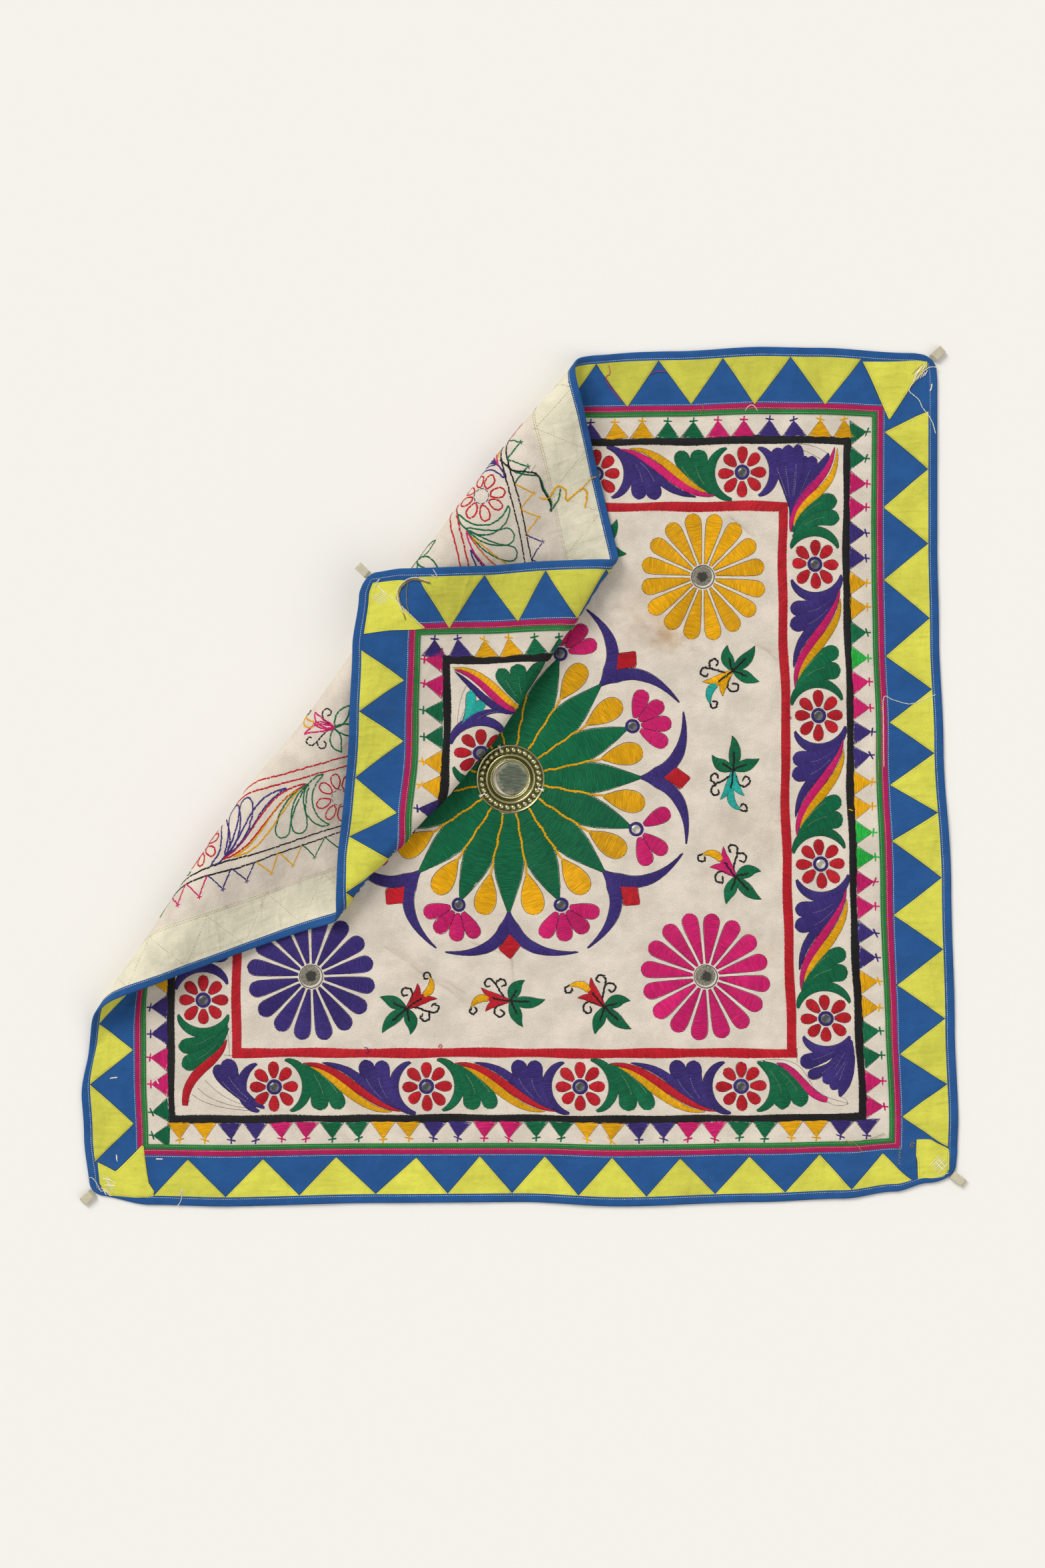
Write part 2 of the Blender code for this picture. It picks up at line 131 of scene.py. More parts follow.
rng = np.random.default_rng(11)
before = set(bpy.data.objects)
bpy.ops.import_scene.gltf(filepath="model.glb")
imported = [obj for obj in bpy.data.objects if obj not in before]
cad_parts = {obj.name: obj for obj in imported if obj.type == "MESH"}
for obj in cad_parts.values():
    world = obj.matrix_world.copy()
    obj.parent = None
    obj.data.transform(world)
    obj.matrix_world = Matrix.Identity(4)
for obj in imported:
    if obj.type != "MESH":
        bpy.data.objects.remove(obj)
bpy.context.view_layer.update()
materials = {}
piles = {}


def interpolate(places, values, at):
    """Smoothly joined values at places in rising order, held level past both ends."""
    places, values = np.asarray(places), np.asarray(values)
    at = np.clip(at, places[0], places[-1])
    row = np.clip(np.searchsorted(places, at, side="right") - 1, 0, len(places) - 2)
    share = (at - places[row]) / (places[row + 1] - places[row])
    return values[row] + (values[row + 1] - values[row]) * share * share * (3.0 - 2.0 * share)


def drift(side, along, out):
    """How far a side of the sewn cloth lies off its straight place, fading toward the middle."""
    table = EDGE_DRIFT[side]
    reach = np.clip(out / EDGE[side], 0.0, 1.1)
    return interpolate(table["place"], table["drift"], along) * reach ** DRIFT_POWER[side]


def bump(distance, reach):
    """One at the middle, falling smoothly to nothing at the reach."""
    share = np.clip(np.abs(distance) / reach, 0.0, 1.0)
    return (1.0 - share * share) ** 2


def warp(u, v):
    """The true plan of the sewn cloth, from the straight design."""
    across = drift("right", v, u) - drift("left", v, u)
    upward = drift("top", u, v) - drift("bottom", u, v)
    inside = np.stack([u - EDGE["left"], EDGE["right"] - u, v - EDGE["bottom"], EDGE["top"] - v])
    free = 1.0 - bump(np.maximum(inside.min(axis=0) - HELD_RIM, 0.0), PULL_GROWTH)
    for middle, reach, pull in PULLS:
        share = free * bump(np.hypot(u - middle[0], v - middle[1]), reach)
        across = across + pull[0] * share
        upward = upward + pull[1] * share
    return np.stack([u + across, v + upward], axis=1)


def spline(before, here, there, after, share):
    """Smooth curve between two points, at shares of the way, led by the points on both sides."""
    return 0.5 * (
        2.0 * here + (there - before) * share
        + (2.0 * before - 5.0 * here + 4.0 * there - after) * share ** 2
        + (3.0 * here - before - 3.0 * there + after) * share ** 3
    )


def with_ends(points):
    """Points with one more at each end, straight on."""
    return np.vstack([2.0 * points[0] - points[1], points, 2.0 * points[-1] - points[-2]])


def trace_section():
    """The fold section as points with their distance along it."""
    rows = with_ends(np.stack([FOLD_SECTION["plan"], FOLD_SECTION["height"]], axis=1) * MM)
    share = (np.arange(SECTION_STEPS) / SECTION_STEPS)[:, None]
    points = np.vstack([spline(*four, share) for four in zip(rows, rows[1:], rows[2:-1], rows[3:])])
    steps = np.linalg.norm(np.diff(points, axis=0), axis=1)
    return points, np.concatenate([[0.0], np.cumsum(steps)])


SECTION_POINTS, SECTION_LENGTHS = trace_section()
SECTION_START = SECTION_POINTS[0, 0]


def section_at(length):
    """Place and heading on the fold section, at a distance from where it leaves the surface."""
    row = np.clip(np.searchsorted(SECTION_LENGTHS, length, side="right") - 1, 0, len(SECTION_LENGTHS) - 2)
    span = (SECTION_LENGTHS[row + 1] - SECTION_LENGTHS[row])[:, None]
    heading = (SECTION_POINTS[row + 1] - SECTION_POINTS[row]) / span
    return SECTION_POINTS[row] + heading * (length - SECTION_LENGTHS[row])[:, None], heading


def lift(plan, clear):
    """Height of the soft ridges at places on the flat part, which die out before the fold."""
    height = np.zeros(len(plan))
    for middle, heading, length, width, top in zip(*RIDGES.values()):
        offset = plan - np.array(middle)
        turn = math.radians(heading)
        along = offset[:, 0] * math.cos(turn) + offset[:, 1] * math.sin(turn)
        aside = offset[:, 1] * math.cos(turn) - offset[:, 0] * math.sin(turn)
        height += top * bump(along, length) * bump(aside, width)
    return height * (1.0 - bump(np.maximum(clear, 0.0), RIDGE_FADE))


# Small puckers along the seams: rise, length, how they sway and lean, the size of their patches,
# how deep the band that they fill lies, and how near a corner they die out.
PUCKER = {
    "rise": 0.38 * MM, "length": 2.9 * MM, "sway": 21.0 * MM, "lean": 19.0 * MM, "patch": 37.0 * MM,
    "middle": 26.0 * MM, "reach": 48.0 * MM, "corner": 25.0 * MM,
}
SLOW_RELIEF = 0.55 * MM
QUICK_RELIEF = 0.16 * MM


def seam_puckers(u, v):
    """Small puckers square to the sewn border, strongest beside its seams."""
    inside = np.stack([EDGE["top"] - v, EDGE["right"] - u, v - EDGE["bottom"], u - EDGE["left"]])
    nearest = inside.argmin(axis=0)
    depth = inside.min(axis=0)
    along = np.where(nearest % 2 == 0, u, v)
    second = np.sort(inside, axis=0)[1]
    away = np.clip((second - depth) / PUCKER["corner"], 0.0, 1.0)
    sway = 1.7 * np.sin(along / PUCKER["sway"])
    wave = np.sin(along / PUCKER["length"] + sway + depth / PUCKER["lean"] + nearest)
    strength = 0.5 + 0.5 * np.sin(along / PUCKER["patch"] + 2.0 * nearest)
    band = bump(depth - PUCKER["middle"], PUCKER["reach"])
    return PUCKER["rise"] * (1.0 + wave) * strength * away * band


def relief(u, v):
    """Height of the small unevenness of the whole cloth."""
    slow = np.sin(u * 41.0 + 2.1 * np.sin(v * 17.0)) * np.sin(v * 37.0 + 1.3 * np.sin(u * 23.0 + 1.0))
    quick = np.sin(u * 96.0 + v * 71.0 + 1.1 * np.sin(v * 50.0)) * np.sin(v * 83.0 - u * 52.0)
    return SLOW_RELIEF * (1.0 + slow) + QUICK_RELIEF * (1.0 + quick) + seam_puckers(u, v)


def place(points):
    """World positions of design points given as columns u, v and height above the back."""
    u, v, w = points.T
    w = w + relief(u, v)
    plan = warp(u, v)
    s = plan @ FOLD_NORMAL - FOLD_OFFSET
    t = plan @ FOLD_ALONG
    flat = np.column_stack([plan, lift(plan, s - SECTION_START) + w])
    length = np.maximum(SECTION_START - s, 0.0)
    spot, heading = section_at(length)
    reach = np.where(length > ROLL_ONE, ROLL_REACH, ROLL_REACH_FLAT_SIDE)
    bow = interpolate(FOLD_BOW["place"], FOLD_BOW["first"], t) * bump(length - ROLL_ONE, reach)
    bow += interpolate(FOLD_BOW["place"], FOLD_BOW["second"], t) * bump(length - ROLL_TWO, ROLL_REACH)
    slip = CORNER_SLIP * np.clip((length - ROLL_ONE) / (ROLL_TWO - ROLL_ONE), 0.0, 1.0)
    across = spot[:, 0] + bow + w * heading[:, 1]
    moved = FOLD_NORMAL * (across + FOLD_OFFSET)[:, None] + FOLD_ALONG * (t + slip)[:, None]
    folded = np.column_stack([moved, spot[:, 1] - w * heading[:, 0]])
    return np.where((s >= SECTION_START)[:, None], flat, folded) + WORLD_SHIFT


def unwarped(target):
    """Straight design place of a plan point of the sewn cloth."""
    at = target.copy()
    for _ in range(12):
        at = at + target - warp(at[:, 0], at[:, 1])
    return at[0]


def from_photo(x, y):
    """Design place of a point of the flat part, from its photograph pixel."""
    return unwarped(np.array([[x - PHOTO_CENTRE[0], PHOTO_CENTRE[1] - y]]) * PIXEL)


class Pile:
    """A joined mesh under way: design points, quads, and a shade and a flat map per point."""

    def __init__(self):
        self.points, self.quads, self.shades, self.maps = [], [], [], []
        self.count = 0

    def add(self, points, quads, shade, flat):
        self.points.append(points)
        self.quads.append(quads + self.count)
        self.shades.append(shade)
        self.maps.append(flat)
        self.count += len(points)


def pile(name):
    """The pile of a name, begun where there is none yet."""
    return piles.setdefault(name, Pile())


def build_piece(name, material, replaces=(), world=False, heap=None):
    """Turns a pile into a piece that rides on the cloth."""
    heap = piles.pop(heap or name)
    points = np.vstack(heap.points)
    if not world:
        points = place(points)
    quads = np.vstack(heap.quads)
    mesh = bpy.data.meshes.new(name)
    mesh.vertices.add(len(points))
    mesh.vertices.foreach_set("co", points.astype(np.float32).ravel())
    mesh.loops.add(quads.size)
    mesh.loops.foreach_set("vertex_index", quads.astype(np.int32).ravel())
    mesh.polygons.add(len(quads))
    mesh.polygons.foreach_set("loop_start", np.arange(0, quads.size, 4, dtype=np.int32))
    mesh.polygons.foreach_set("use_smooth", np.ones(len(quads), bool))
    mesh.update(calc_edges=True)
    shade = mesh.attributes.new("shade", "FLOAT", "POINT")
    shade.data.foreach_set("value", np.concatenate(heap.shades).astype(np.float32))
    flat = np.vstack(heap.maps)[quads.ravel()]
    layer = mesh.uv_layers.new(name="flat")
    layer.data.foreach_set("uv", flat.astype(np.float32).ravel())
    mesh.materials.append(material)
    made = bpy.data.objects.new(name, mesh)
    bpy.context.scene.collection.objects.link(made)
    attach(made, "root")
    if replaces:
        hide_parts(*replaces)
    return made


def grid_quads(rows, columns):
    """Quads of a grid whose points run row by row."""
    index = np.arange(rows * columns).reshape(rows, columns)
    return np.stack([index[:-1, :-1], index[1:, :-1], index[1:, 1:], index[:-1, 1:]], axis=-1).reshape(-1, 4)


def rim_quads(rows, columns, offset):
    """Walls round a grid, from its front points to the back points that follow them."""
    index = np.arange(rows * columns).reshape(rows, columns)
    loop = np.concatenate([index[0, :-1], index[:-1, -1], index[-1, :0:-1], index[:0:-1, 0]])
    after = np.roll(loop, -1)
    return np.stack([loop, after, after + offset, loop + offset], axis=-1)


def slab(heap, plan, back, front, shade=1.0):
    """A closed sheet over a grid of design points, between two heights."""
    rows, columns = plan.shape[:2]
    flat = plan.reshape(-1, 2)
    back = np.broadcast_to(back, (rows, columns)).ravel()
    front = np.broadcast_to(front, (rows, columns)).ravel()
    count = rows * columns
    points = np.vstack([np.column_stack([flat, front]), np.column_stack([flat, back])])
    across, down = plan[1, 0] - plan[0, 0], plan[0, 1] - plan[0, 0]
    if np.allclose(across, 0.0) or np.allclose(down, 0.0):
        across, down = plan[1, 1] - plan[0, 1], plan[0, 1] - plan[0, 0] + plan[1, 1] - plan[1, 0]
    flip = -1 if across[0] * down[1] - across[1] * down[0] < 0.0 else 1
    both = np.vstack([flat, flat])
    quads = grid_quads(rows, columns)
    faces = np.vstack([quads, quads[:, ::-1] + count])
    heap.add(points, faces[:, ::flip], np.full(2 * count, shade), both)
    rim, renamed = np.unique(rim_quads(rows, columns, count), return_inverse=True)
    heap.add(points[rim], renamed.reshape(-1, 4)[:, ::flip], np.full(len(rim), shade), both[rim])


def loft(first, second, shares):
    """Grid of points between two rails, at given shares of the way across."""
    shares = np.asarray(shares)
    if shares.ndim == 1:
        shares = shares[None, :]
    return first[:, None, :] + (second - first)[:, None, :] * shares[..., None]


def lengths_along(path):
    """Distance from the start of a path to each of its points."""
    return np.concatenate([[0.0], np.cumsum(np.linalg.norm(np.diff(path, axis=0), axis=1))])


def points_along(path, at):
    """Points of a path at distances from its start."""
    run = lengths_along(path)
    return np.column_stack([np.interp(at, run, path[:, i]) for i in range(path.shape[1])])


def bezier(corners, count):
    """Smooth curve led by its corner points."""
    share = np.linspace(0.0, 1.0, count)[:, None]
    level = [np.asarray(corner, float)[None, :] for corner in corners]
    while len(level) > 1:
        level = [a * (1.0 - share) + b * share for a, b in zip(level, level[1:])]
    return level[0]


def rails(spine, left, right=None):
    """Both sides of a form that runs along a spine, from its half widths."""
    heading = np.gradient(spine, axis=0)
    heading /= np.linalg.norm(heading, axis=1)[:, None]
    aside = np.column_stack([-heading[:, 1], heading[:, 0]])
    right = left if right is None else right
    return spine + aside * left[:, None], spine - aside * right[:, None]


def petal_width(count, widest, root):
    """Half width along a petal: narrow root, widest part, round end."""
    at = np.linspace(0.0, 1.0, count)
    rising = root + (1.0 - root) * np.sin(0.5 * np.pi * np.clip(at / widest, 0.0, 1.0))
    falling = np.sqrt(np.clip(1.0 - ((at - widest) / (1.0 - widest)) ** 2, 0.0, 1.0))
    return np.where(at < widest, rising, falling)


def profile(table, count):
    """Half widths at even steps along a form, from its row of places and row of shares."""
    return np.interp(np.linspace(0.0, 1.0, count), *table)


def turned(points, angle):
    """Points turned about the origin."""
    c, s = math.cos(angle), math.sin(angle)
    return points @ np.array([[c, s], [-s, c]])


def unit(angle):
    """Heading at an angle."""
    return np.array([math.cos(angle), math.sin(angle)])


def aside_of(heading):
    """Heading a quarter turn to the left."""
    return np.array([-heading[1], heading[0]])


def circle(angles):
    """Points of the unit circle at a row of angles."""
    return np.column_stack([np.cos(angles), np.sin(angles)])


# Stitches.

FRONT = 1.0
BACK = -1.0
THREAD_SINK = 0.15 * MM
SHORTEST_STITCH = 0.5 * MM
TWIST_PHASE = 0.01
# Sections along a stitch: place, share of its height and share of its width.
SHORT_STITCH = (np.array([0.0, 0.5, 1.0]), np.array([0.35, 1.0, 0.35]), np.array([0.8, 1.0, 0.8]))
TINY_STITCH = (np.array([0.0, 1.0]), np.array([0.8, 0.8]), np.array([0.9, 0.9]))
# Kinds of sewn line in millimetres: pitch, then the share of it that is thread, then the thread's
# width and rise, and how far the hand wanders.
LINES = {
    "marking": (3.6, 1.06, 0.95, 0.5, 0.1),
    "triangle_marking": (3.6, 1.06, 0.62, 0.5, 0.1),
    "sprig_marking": (3.6, 1.06, 0.8, 0.5, 0.1),
    "rosette_ring": (3.2, 1.06, 1.3, 0.6, 0.1),
    "vein": (2.4, 0.55, 0.6, 1.3, 0.08),
    "bare": (3.4, 0.9, 0.75, 0.35, 0.15),
    "band_edge": (2.9, 0.85, 0.6, 0.2, 0.1),
    "motif_back": (4.8, 0.95, 2.4, 0.7, 0.25),
    "triangle_back": (4.6, 0.95, 2.2, 0.7, 0.3),
    "band_back": (5.0, 0.94, 2.4, 0.7, 0.3),
    "sprig_back": (4.6, 0.85, 2.2, 0.6, 0.3),
    "flower_back": (6.0, 0.7, 1.4, 0.4, 0.1),
    "mirror_back": (3.0, 0.8, 0.8, 0.3, 0.1),
    # The dark line round a sewn-on piece: dark thread, and painted shadow of its raised edge.
    "hem_edge": (3.6, 1.0, 0.95, 0.34, 0.08),
    "hem": (2.6, 0.52, 0.7, 0.2, 0.08),
    "hem_back": (3.6, 0.6, 0.7, 0.22, 0.1),
    "binding_seam": (2.5, 0.56, 0.75, 0.34, 0.05),
    "strip_seam": (2.4, 0.54, 0.75, 0.36, 0.08),
    "strip_back": (3.6, 0.6, 0.8, 0.25, 0.1),
}


def lay_threads(heap, start, end, width, rise, base, shade, face=FRONT, crown=None, section=SHORT_STITCH):
    """Straight stitches as low ridges, from start to end points, on the front or the back."""
    stations, ends, taper = section
    run = end - start
    length = np.linalg.norm(run, axis=1)
    keep = length > SHORTEST_STITCH
    start, run, length = start[keep], run[keep], length[keep]
    count, steps = len(start), len(stations)
    if not count:
        return
    shade = np.broadcast_to(shade, keep.shape)[keep]
    base = np.broadcast_to(base, keep.shape)[keep]
    along = run / length[:, None]
    aside = np.column_stack([-along[:, 1], along[:, 0]])
    centre = start[:, None, :] + run[:, None, :] * stations[None, :, None]
    ring = np.array([-1.0, 0.0, 1.0])
    reach = (0.5 * width * taper)[:, None] * ring
    plan = centre[:, :, None, :] + aside[:, None, None, :] * reach[None, :, :, None]
    low = base[:, None] if crown is None else base[:, None] + crown[keep]
    low = np.broadcast_to(low, (count, steps))
    foot = low - face * THREAD_SINK
    height = np.stack([foot, low + face * rise * ends, foot], axis=2)
    points = np.concatenate([plan, height[..., None]], axis=3).reshape(-1, 3)
    index = np.arange(count * steps * 3).reshape(count, steps, 3)
    before, after = index[:, :-1], index[:, 1:]
    quads = np.stack([before[..., :-1], after[..., :-1], after[..., 1:], before[..., 1:]], axis=-1)
    quads = quads.reshape(-1, 4)
    if face < 0.0:
        quads = quads[:, ::-1]
    twist = np.zeros((count, steps, 3, 2))
    twist[..., 0] = (length[:, None] * stations)[:, :, None] + rng.random(count)[:, None, None] * TWIST_PHASE
    twist[..., 1] = ring * 0.5 * width
    heap.add(points, quads, np.repeat(shade, steps * 3), twist.reshape(-1, 2))


def thread_shades(count, spread=0.12):
    """Uneven shades of a number of stitches."""
    return 1.0 + spread * rng.standard_normal(count).clip(-2.0, 2.0)


def across_at(form, run, at):
    """Both ends of rows across a form, at distances along its middle line."""
    return [np.column_stack([np.interp(at, run, side[:, i]) for i in range(2)]) for side in form]


def cut_rows(form, pitch):
    """Even rows across a form, as their two ends."""
    run = lengths_along(0.5 * (form[0] + form[1]))
    count = max(int(round(run[-1] / pitch)), 1)
    return across_at(form, run, (np.arange(count) + 0.5) / count * run[-1])


FILL_PITCH = 1.36 * MM
FILL_WIDTH = 1.5 * MM
FILL_RISE = 0.62 * MM
FILL_CROWN = 0.5 * MM
FILL_REACH = 9.0 * MM
FILL_FRAY = 0.22 * MM
SHORTEST_ROW = 0.9 * MM
ROW_JITTER = 0.16 * MM
MOTIF_SPREAD = 0.07
# Wide rows are sewn in parts that lap over each other: their lap, slant, rise and uneven length.
WIDEST_PART = 5.5 * MM
PART_LAP = 0.9 * MM
PART_SLANT = 0.55 * MM
PLAIN_SLANT = 0.4
PART_RISE = 0.1 * MM
PART_STAGGER = 0.3
PART_UNEVEN = 0.12
BED_PITCH = 3.2 * MM
BED_STEP = 0.1 * MM
BED_SHARES = np.array([0.0, 0.14, 0.5, 0.86, 1.0])
# How dark the bed under each colour is made: painted shade in the gaps between the threads.
BED_PAINTED_SHADE = {"yellow": 0.78, "pink": 0.72, "red": 0.72, "turquoise": 0.74}
PLAIN_BED_PAINTED_SHADE = 0.62


def fill(group, colour, form, pitch=FILL_PITCH, reach=FILL_REACH, base=GROUND_TOP, fray=FILL_FRAY,
         crown=FILL_CROWN):
    """Closed rows of thread across a form, each row in overlapping stitches, over a padded bed whose darker
    colour is painted shade between the rows.
    """
    heap = pile(f"{group}_{colour}")
    left, right = cut_rows(form, pitch)
    width = np.linalg.norm(right - left, axis=1)
    keep = width > SHORTEST_ROW
    left, right, width = left[keep], right[keep], width[keep]
    if not len(left):
        return
    across = (right - left) / width[:, None]
    forward = np.column_stack([across[:, 1], -across[:, 0]])
    parts = np.where(width > WIDEST_PART, np.maximum(np.round(width / reach), 2.0), 1.0)
    tone = 1.0 + MOTIF_SPREAD * rng.standard_normal()
    odd = (np.arange(len(left)) % 2).astype(float)
    for part in range(int(parts.max())):
        rows = parts > part
        n, wide, count = parts[rows], width[rows], rows.sum()
        shift = (odd[rows] - 0.5) * PART_STAGGER + PART_UNEVEN * rng.standard_normal(count)
        lap = np.where(n > 1, PART_LAP / wide, 0.0)
        low = np.where(part > 0, (part + shift) / n - lap, -fray * rng.random(count) / wide)
        high = np.where(part + 1 < n, (part + 1 + shift) / n + lap, 1.0 + fray * rng.random(count) / wide)
        slant = (PART_SLANT * (-1.0) ** part * np.where(n > 1, 1.0, PLAIN_SLANT))[:, None] * forward[rows]
        jitter = forward[rows] * (ROW_JITTER * rng.standard_normal((count, 1)))
        start = left[rows] + across[rows] * (low * wide)[:, None] - slant + jitter
        end = left[rows] + across[rows] * (high * wide)[:, None] + slant + jitter
        share = low[:, None] + (high - low)[:, None] * SHORT_STITCH[0]
        bulge = crown * (4.0 * share * (1.0 - share)).clip(0.0)
        lay_threads(heap, start, end, FILL_WIDTH, FILL_RISE, base + PART_RISE * (part % 2),
                    tone * thread_shades(count), crown=bulge)
    # The bed is darker than its thread: painted shade between the rows.
    bed(heap, form, base, crown, tone * BED_PAINTED_SHADE.get(colour, PLAIN_BED_PAINTED_SHADE))


def bed(heap, form, base, crown, shade):
    """The padded underlay of a filled form, which closes the gaps between its threads and is darkened as
    painted shade in those gaps.
    """
    run = lengths_along(0.5 * (form[0] + form[1]))
    at = np.linspace(0.0, run[-1], max(int(run[-1] / BED_PITCH), 2) + 1)
    plan = loft(*across_at(form, run, at), BED_SHARES)
    dome = base + BED_STEP + crown * 4.0 * BED_SHARES * (1.0 - BED_SHARES)
    height = np.broadcast_to(dome, plan.shape[:2]).copy()
    height[:, [0, -1]] = base - BED_STEP
    height[[0, -1]] = base - BED_STEP
    points = np.concatenate([plan, height[..., None]], axis=2).reshape(-1, 3)
    quads = grid_quads(*plan.shape[:2])
    side = np.cross(plan[1, 2] - plan[0, 2], plan[0, -1] - plan[0, 0])
    if side < 0.0:
        quads = quads[:, ::-1]
    heap.add(points, quads, np.full(len(points), shade), plan.reshape(-1, 2))


def running(kind, name, path, base, face=FRONT):
    """Running stitches of one kind along a path."""
    pitch, share, width, rise, wander = LINES[kind]
    total = lengths_along(path)[-1]
    count = int(total / (pitch * MM))
    if count < 1:
        return
    at = (np.arange(count) + 0.5 * (1.0 - share)) * total / count
    start = points_along(path, at)
    end = points_along(path, at + share * total / count)
    move = wander * MM * rng.standard_normal((2, count, 2))
    lay_threads(pile(name), start + move[0], end + move[1], width * MM, rise * MM, base,
                thread_shades(count, 0.05), face, section=TINY_STITCH)


def back_line(kind, colour, path):
    """Running stitches that show on the back."""
    running(kind, f"back_{colour}", path, 0.0, BACK)


# A rope's half step, and in shares of its pitch or width: its lay, lean, wander and strand.
ROPE_STEP = 0.3 * MM
ROPE_LAY = 0.95
ROPE_LEAN = 0.24
ROPE_WANDER = 0.12
ROPE_STRAND = 0.72


def rope(name, path, width, rise, base, face=FRONT, pitch=1.5 * MM):
    """A thick twisted thread laid along a path."""
    total = lengths_along(path)[-1]
    count = max(int(total / pitch), 2)
    at = (np.arange(count) + 0.5) * total / count
    run = points_along(path, at + ROPE_STEP) - points_along(path, at - ROPE_STEP)
    heading = run / np.maximum(np.linalg.norm(run, axis=1), 1e-6)[:, None]
    aside = np.column_stack([-heading[:, 1], heading[:, 0]])
    half = heading * ROPE_LAY * pitch + aside * ROPE_LEAN * width
    middle = points_along(path, at) + aside * (ROPE_WANDER * width * rng.standard_normal((count, 1)))
    lay_threads(pile(name), middle - half, middle + half, ROPE_STRAND * width, rise, base,
                thread_shades(count, 0.07), face)


OUTLINE_GAP = 0.12 * MM
BACK_LINE_GAP = -0.3 * MM


def outline_of(form, out):
    """Closed line round a form, at a distance outside it."""
    left, right = form
    aside = left - right
    aside = aside / np.maximum(np.linalg.norm(aside, axis=1)[:, None], 1e-6)
    near, far = left + aside * out, right - aside * out
    return np.vstack([near, far[::-1], near[:1]])


def outline(group, form, back=None, kind="marking"):
    """The marking line round a motif, and the line of its thread that shows on the back."""
    running(kind, f"{group}_ink", outline_of(form, OUTLINE_GAP), GROUND_TOP)
    if back:
        back_line("motif_back", back, outline_of(form, BACK_LINE_GAP))


def motif(group, colour, form):
    """A filled form with its marking line."""
    fill(group, colour, form)
    outline(group, form, back=colour)


def ring_form(centre, inner, outer):
    """A ring as a form between its two edges."""
    heading = circle(np.linspace(0.0, math.tau, 40))
    return centre + heading * inner, centre + heading * outer


MIRROR_LAP = 0.5 * MM
MIRROR_RING_LIFT = 0.2 * MM
MIRROR_CORNERS = 7
MIRROR_PULL = 0.025
MIRROR_TILT = 0.03
# A small mirror from its middle out: share of its radius, and height in millimetres.
MIRROR_LEVELS = ((0.0, 0.55), (0.94, 0.55), (1.0, 0.3), (1.0, 0.0))


def mirror(group, centre, radius, ring, painted_glint):
    """A small mirror under a ring of purple thread."""
    form = ring_form(centre, radius - MIRROR_LAP, radius + ring)
    fill(group, "purple", form, base=GROUND_TOP + MIRROR_RING_LIFT)
    angle = np.linspace(0.0, math.tau, 29) + rng.random()
    pull = 1.0 + MIRROR_PULL * np.cos(MIRROR_CORNERS * angle)
    rim = circle(angle) * (radius * pull)[:, None] + centre
    tilt = MIRROR_TILT * rng.standard_normal(2)
    shares, levels = np.array(MIRROR_LEVELS).T
    plan = centre + (rim - centre)[:, None, :] * shares[:, None]
    height = GROUND_TOP + levels * MM + (plan - centre) @ tilt
    points = np.concatenate([plan, height[..., None]], axis=2).reshape(-1, 3)
    quads = grid_quads(*plan.shape[:2])[:, ::-1]
    flat = ((plan - centre) / radius).reshape(-1, 2)
    pile("small_mirrors").add(points, quads, np.full(len(points), painted_glint), flat)


# Positions along each side of the straight design and in from its edge.


def side_point(side, along, inset):
    """Design point at a place along a side and a distance in from its edge."""
    if side == "top":
        return np.array([along, EDGE["top"] - inset])
    if side == "bottom":
        return np.array([along, EDGE["bottom"] + inset])
    if side == "right":
        return np.array([EDGE["right"] - inset, along])
    return np.array([EDGE["left"] + inset, along])


def seen_along(side, along, inset):
    """Place along a side in the design, for one measured along it on the flat part of the cloth."""
    point = side_point(side, along, inset)
    if point @ FOLD_NORMAL - FOLD_OFFSET < SECTION_START:
        return along
    return unwarped(point[None, :])[0 if side in ("top", "bottom") else 1]


def ground_start(side):
    """Inset at which the bare ground cloth starts."""
    return BINDING + BORDER[side] + 2.0 * STRIP


def corner_of(first, second, inset_first, inset_second):
    """Where two neighbouring sides' lines at the given insets cross."""
    return side_point(first, 0.0, inset_first) + side_point(second, 0.0, inset_second)


def next_side(side, step=1):
    """The side that follows clockwise."""
    return SIDES[(SIDES.index(side) + step) % 4]


def side_strip(side, outer, inner, pitch=5.0 * MM):
    """Rails of a mitred strip along one side between two insets, going clockwise."""
    before, after = next_side(side, -1), next_side(side)
    ends = []
    for inset in (outer, inner):
        start = corner_of(before, side, inset[before], inset[side])
        end = corner_of(side, after, inset[side], inset[after])
        ends.append((start, end))
    length = np.linalg.norm(ends[0][1] - ends[0][0])
    share = np.linspace(0.0, 1.0, int(length / pitch) + 1)[:, None]
    return tuple(start + (end - start) * share for start, end in ends)


def insets(*bands):
    """Inset of every side, as the sum of band widths."""
    return {side: sum(band[side] if isinstance(band, dict) else band for band in bands) for side in SIDES}


# Cloth.

GROUND_CELLS = 138
GROUND_LAP = 6.0 * MM


def make_ground():
    """The ground cloth, which reaches a little way under the border."""
    under = insets(BINDING, BORDER, -GROUND_LAP)
    low = [side_point("left", 0.0, under["left"])[0], side_point("bottom", 0.0, under["bottom"])[1]]
    high = [side_point("right", 0.0, under["right"])[0], side_point("top", 0.0, under["top"])[1]]
    u = np.linspace(low[0], high[0], GROUND_CELLS)
    v = np.linspace(low[1], high[1], GROUND_CELLS)
    plan = np.stack(np.meshgrid(u, v, indexing="ij"), axis=2)
    slab(pile("ground"), plan, 0.0, GROUND_TOP)
    made = build_piece("ground", cloth("ground"), ["ground_cloth"])


def make_band(kind, side, outer, inner, back, front, colour, shares):
    """A mitred strip of cloth on one side, in the place of the frame's solid of the same kind."""
    name = f"{kind}_{side}_cotton"
    slab(pile(name), loft(*side_strip(side, outer, inner), shares), back, front)
    return build_piece(name, cloth(colour), [f"{kind}_{side}"])


BINDING_PITCH = 5.0 * MM
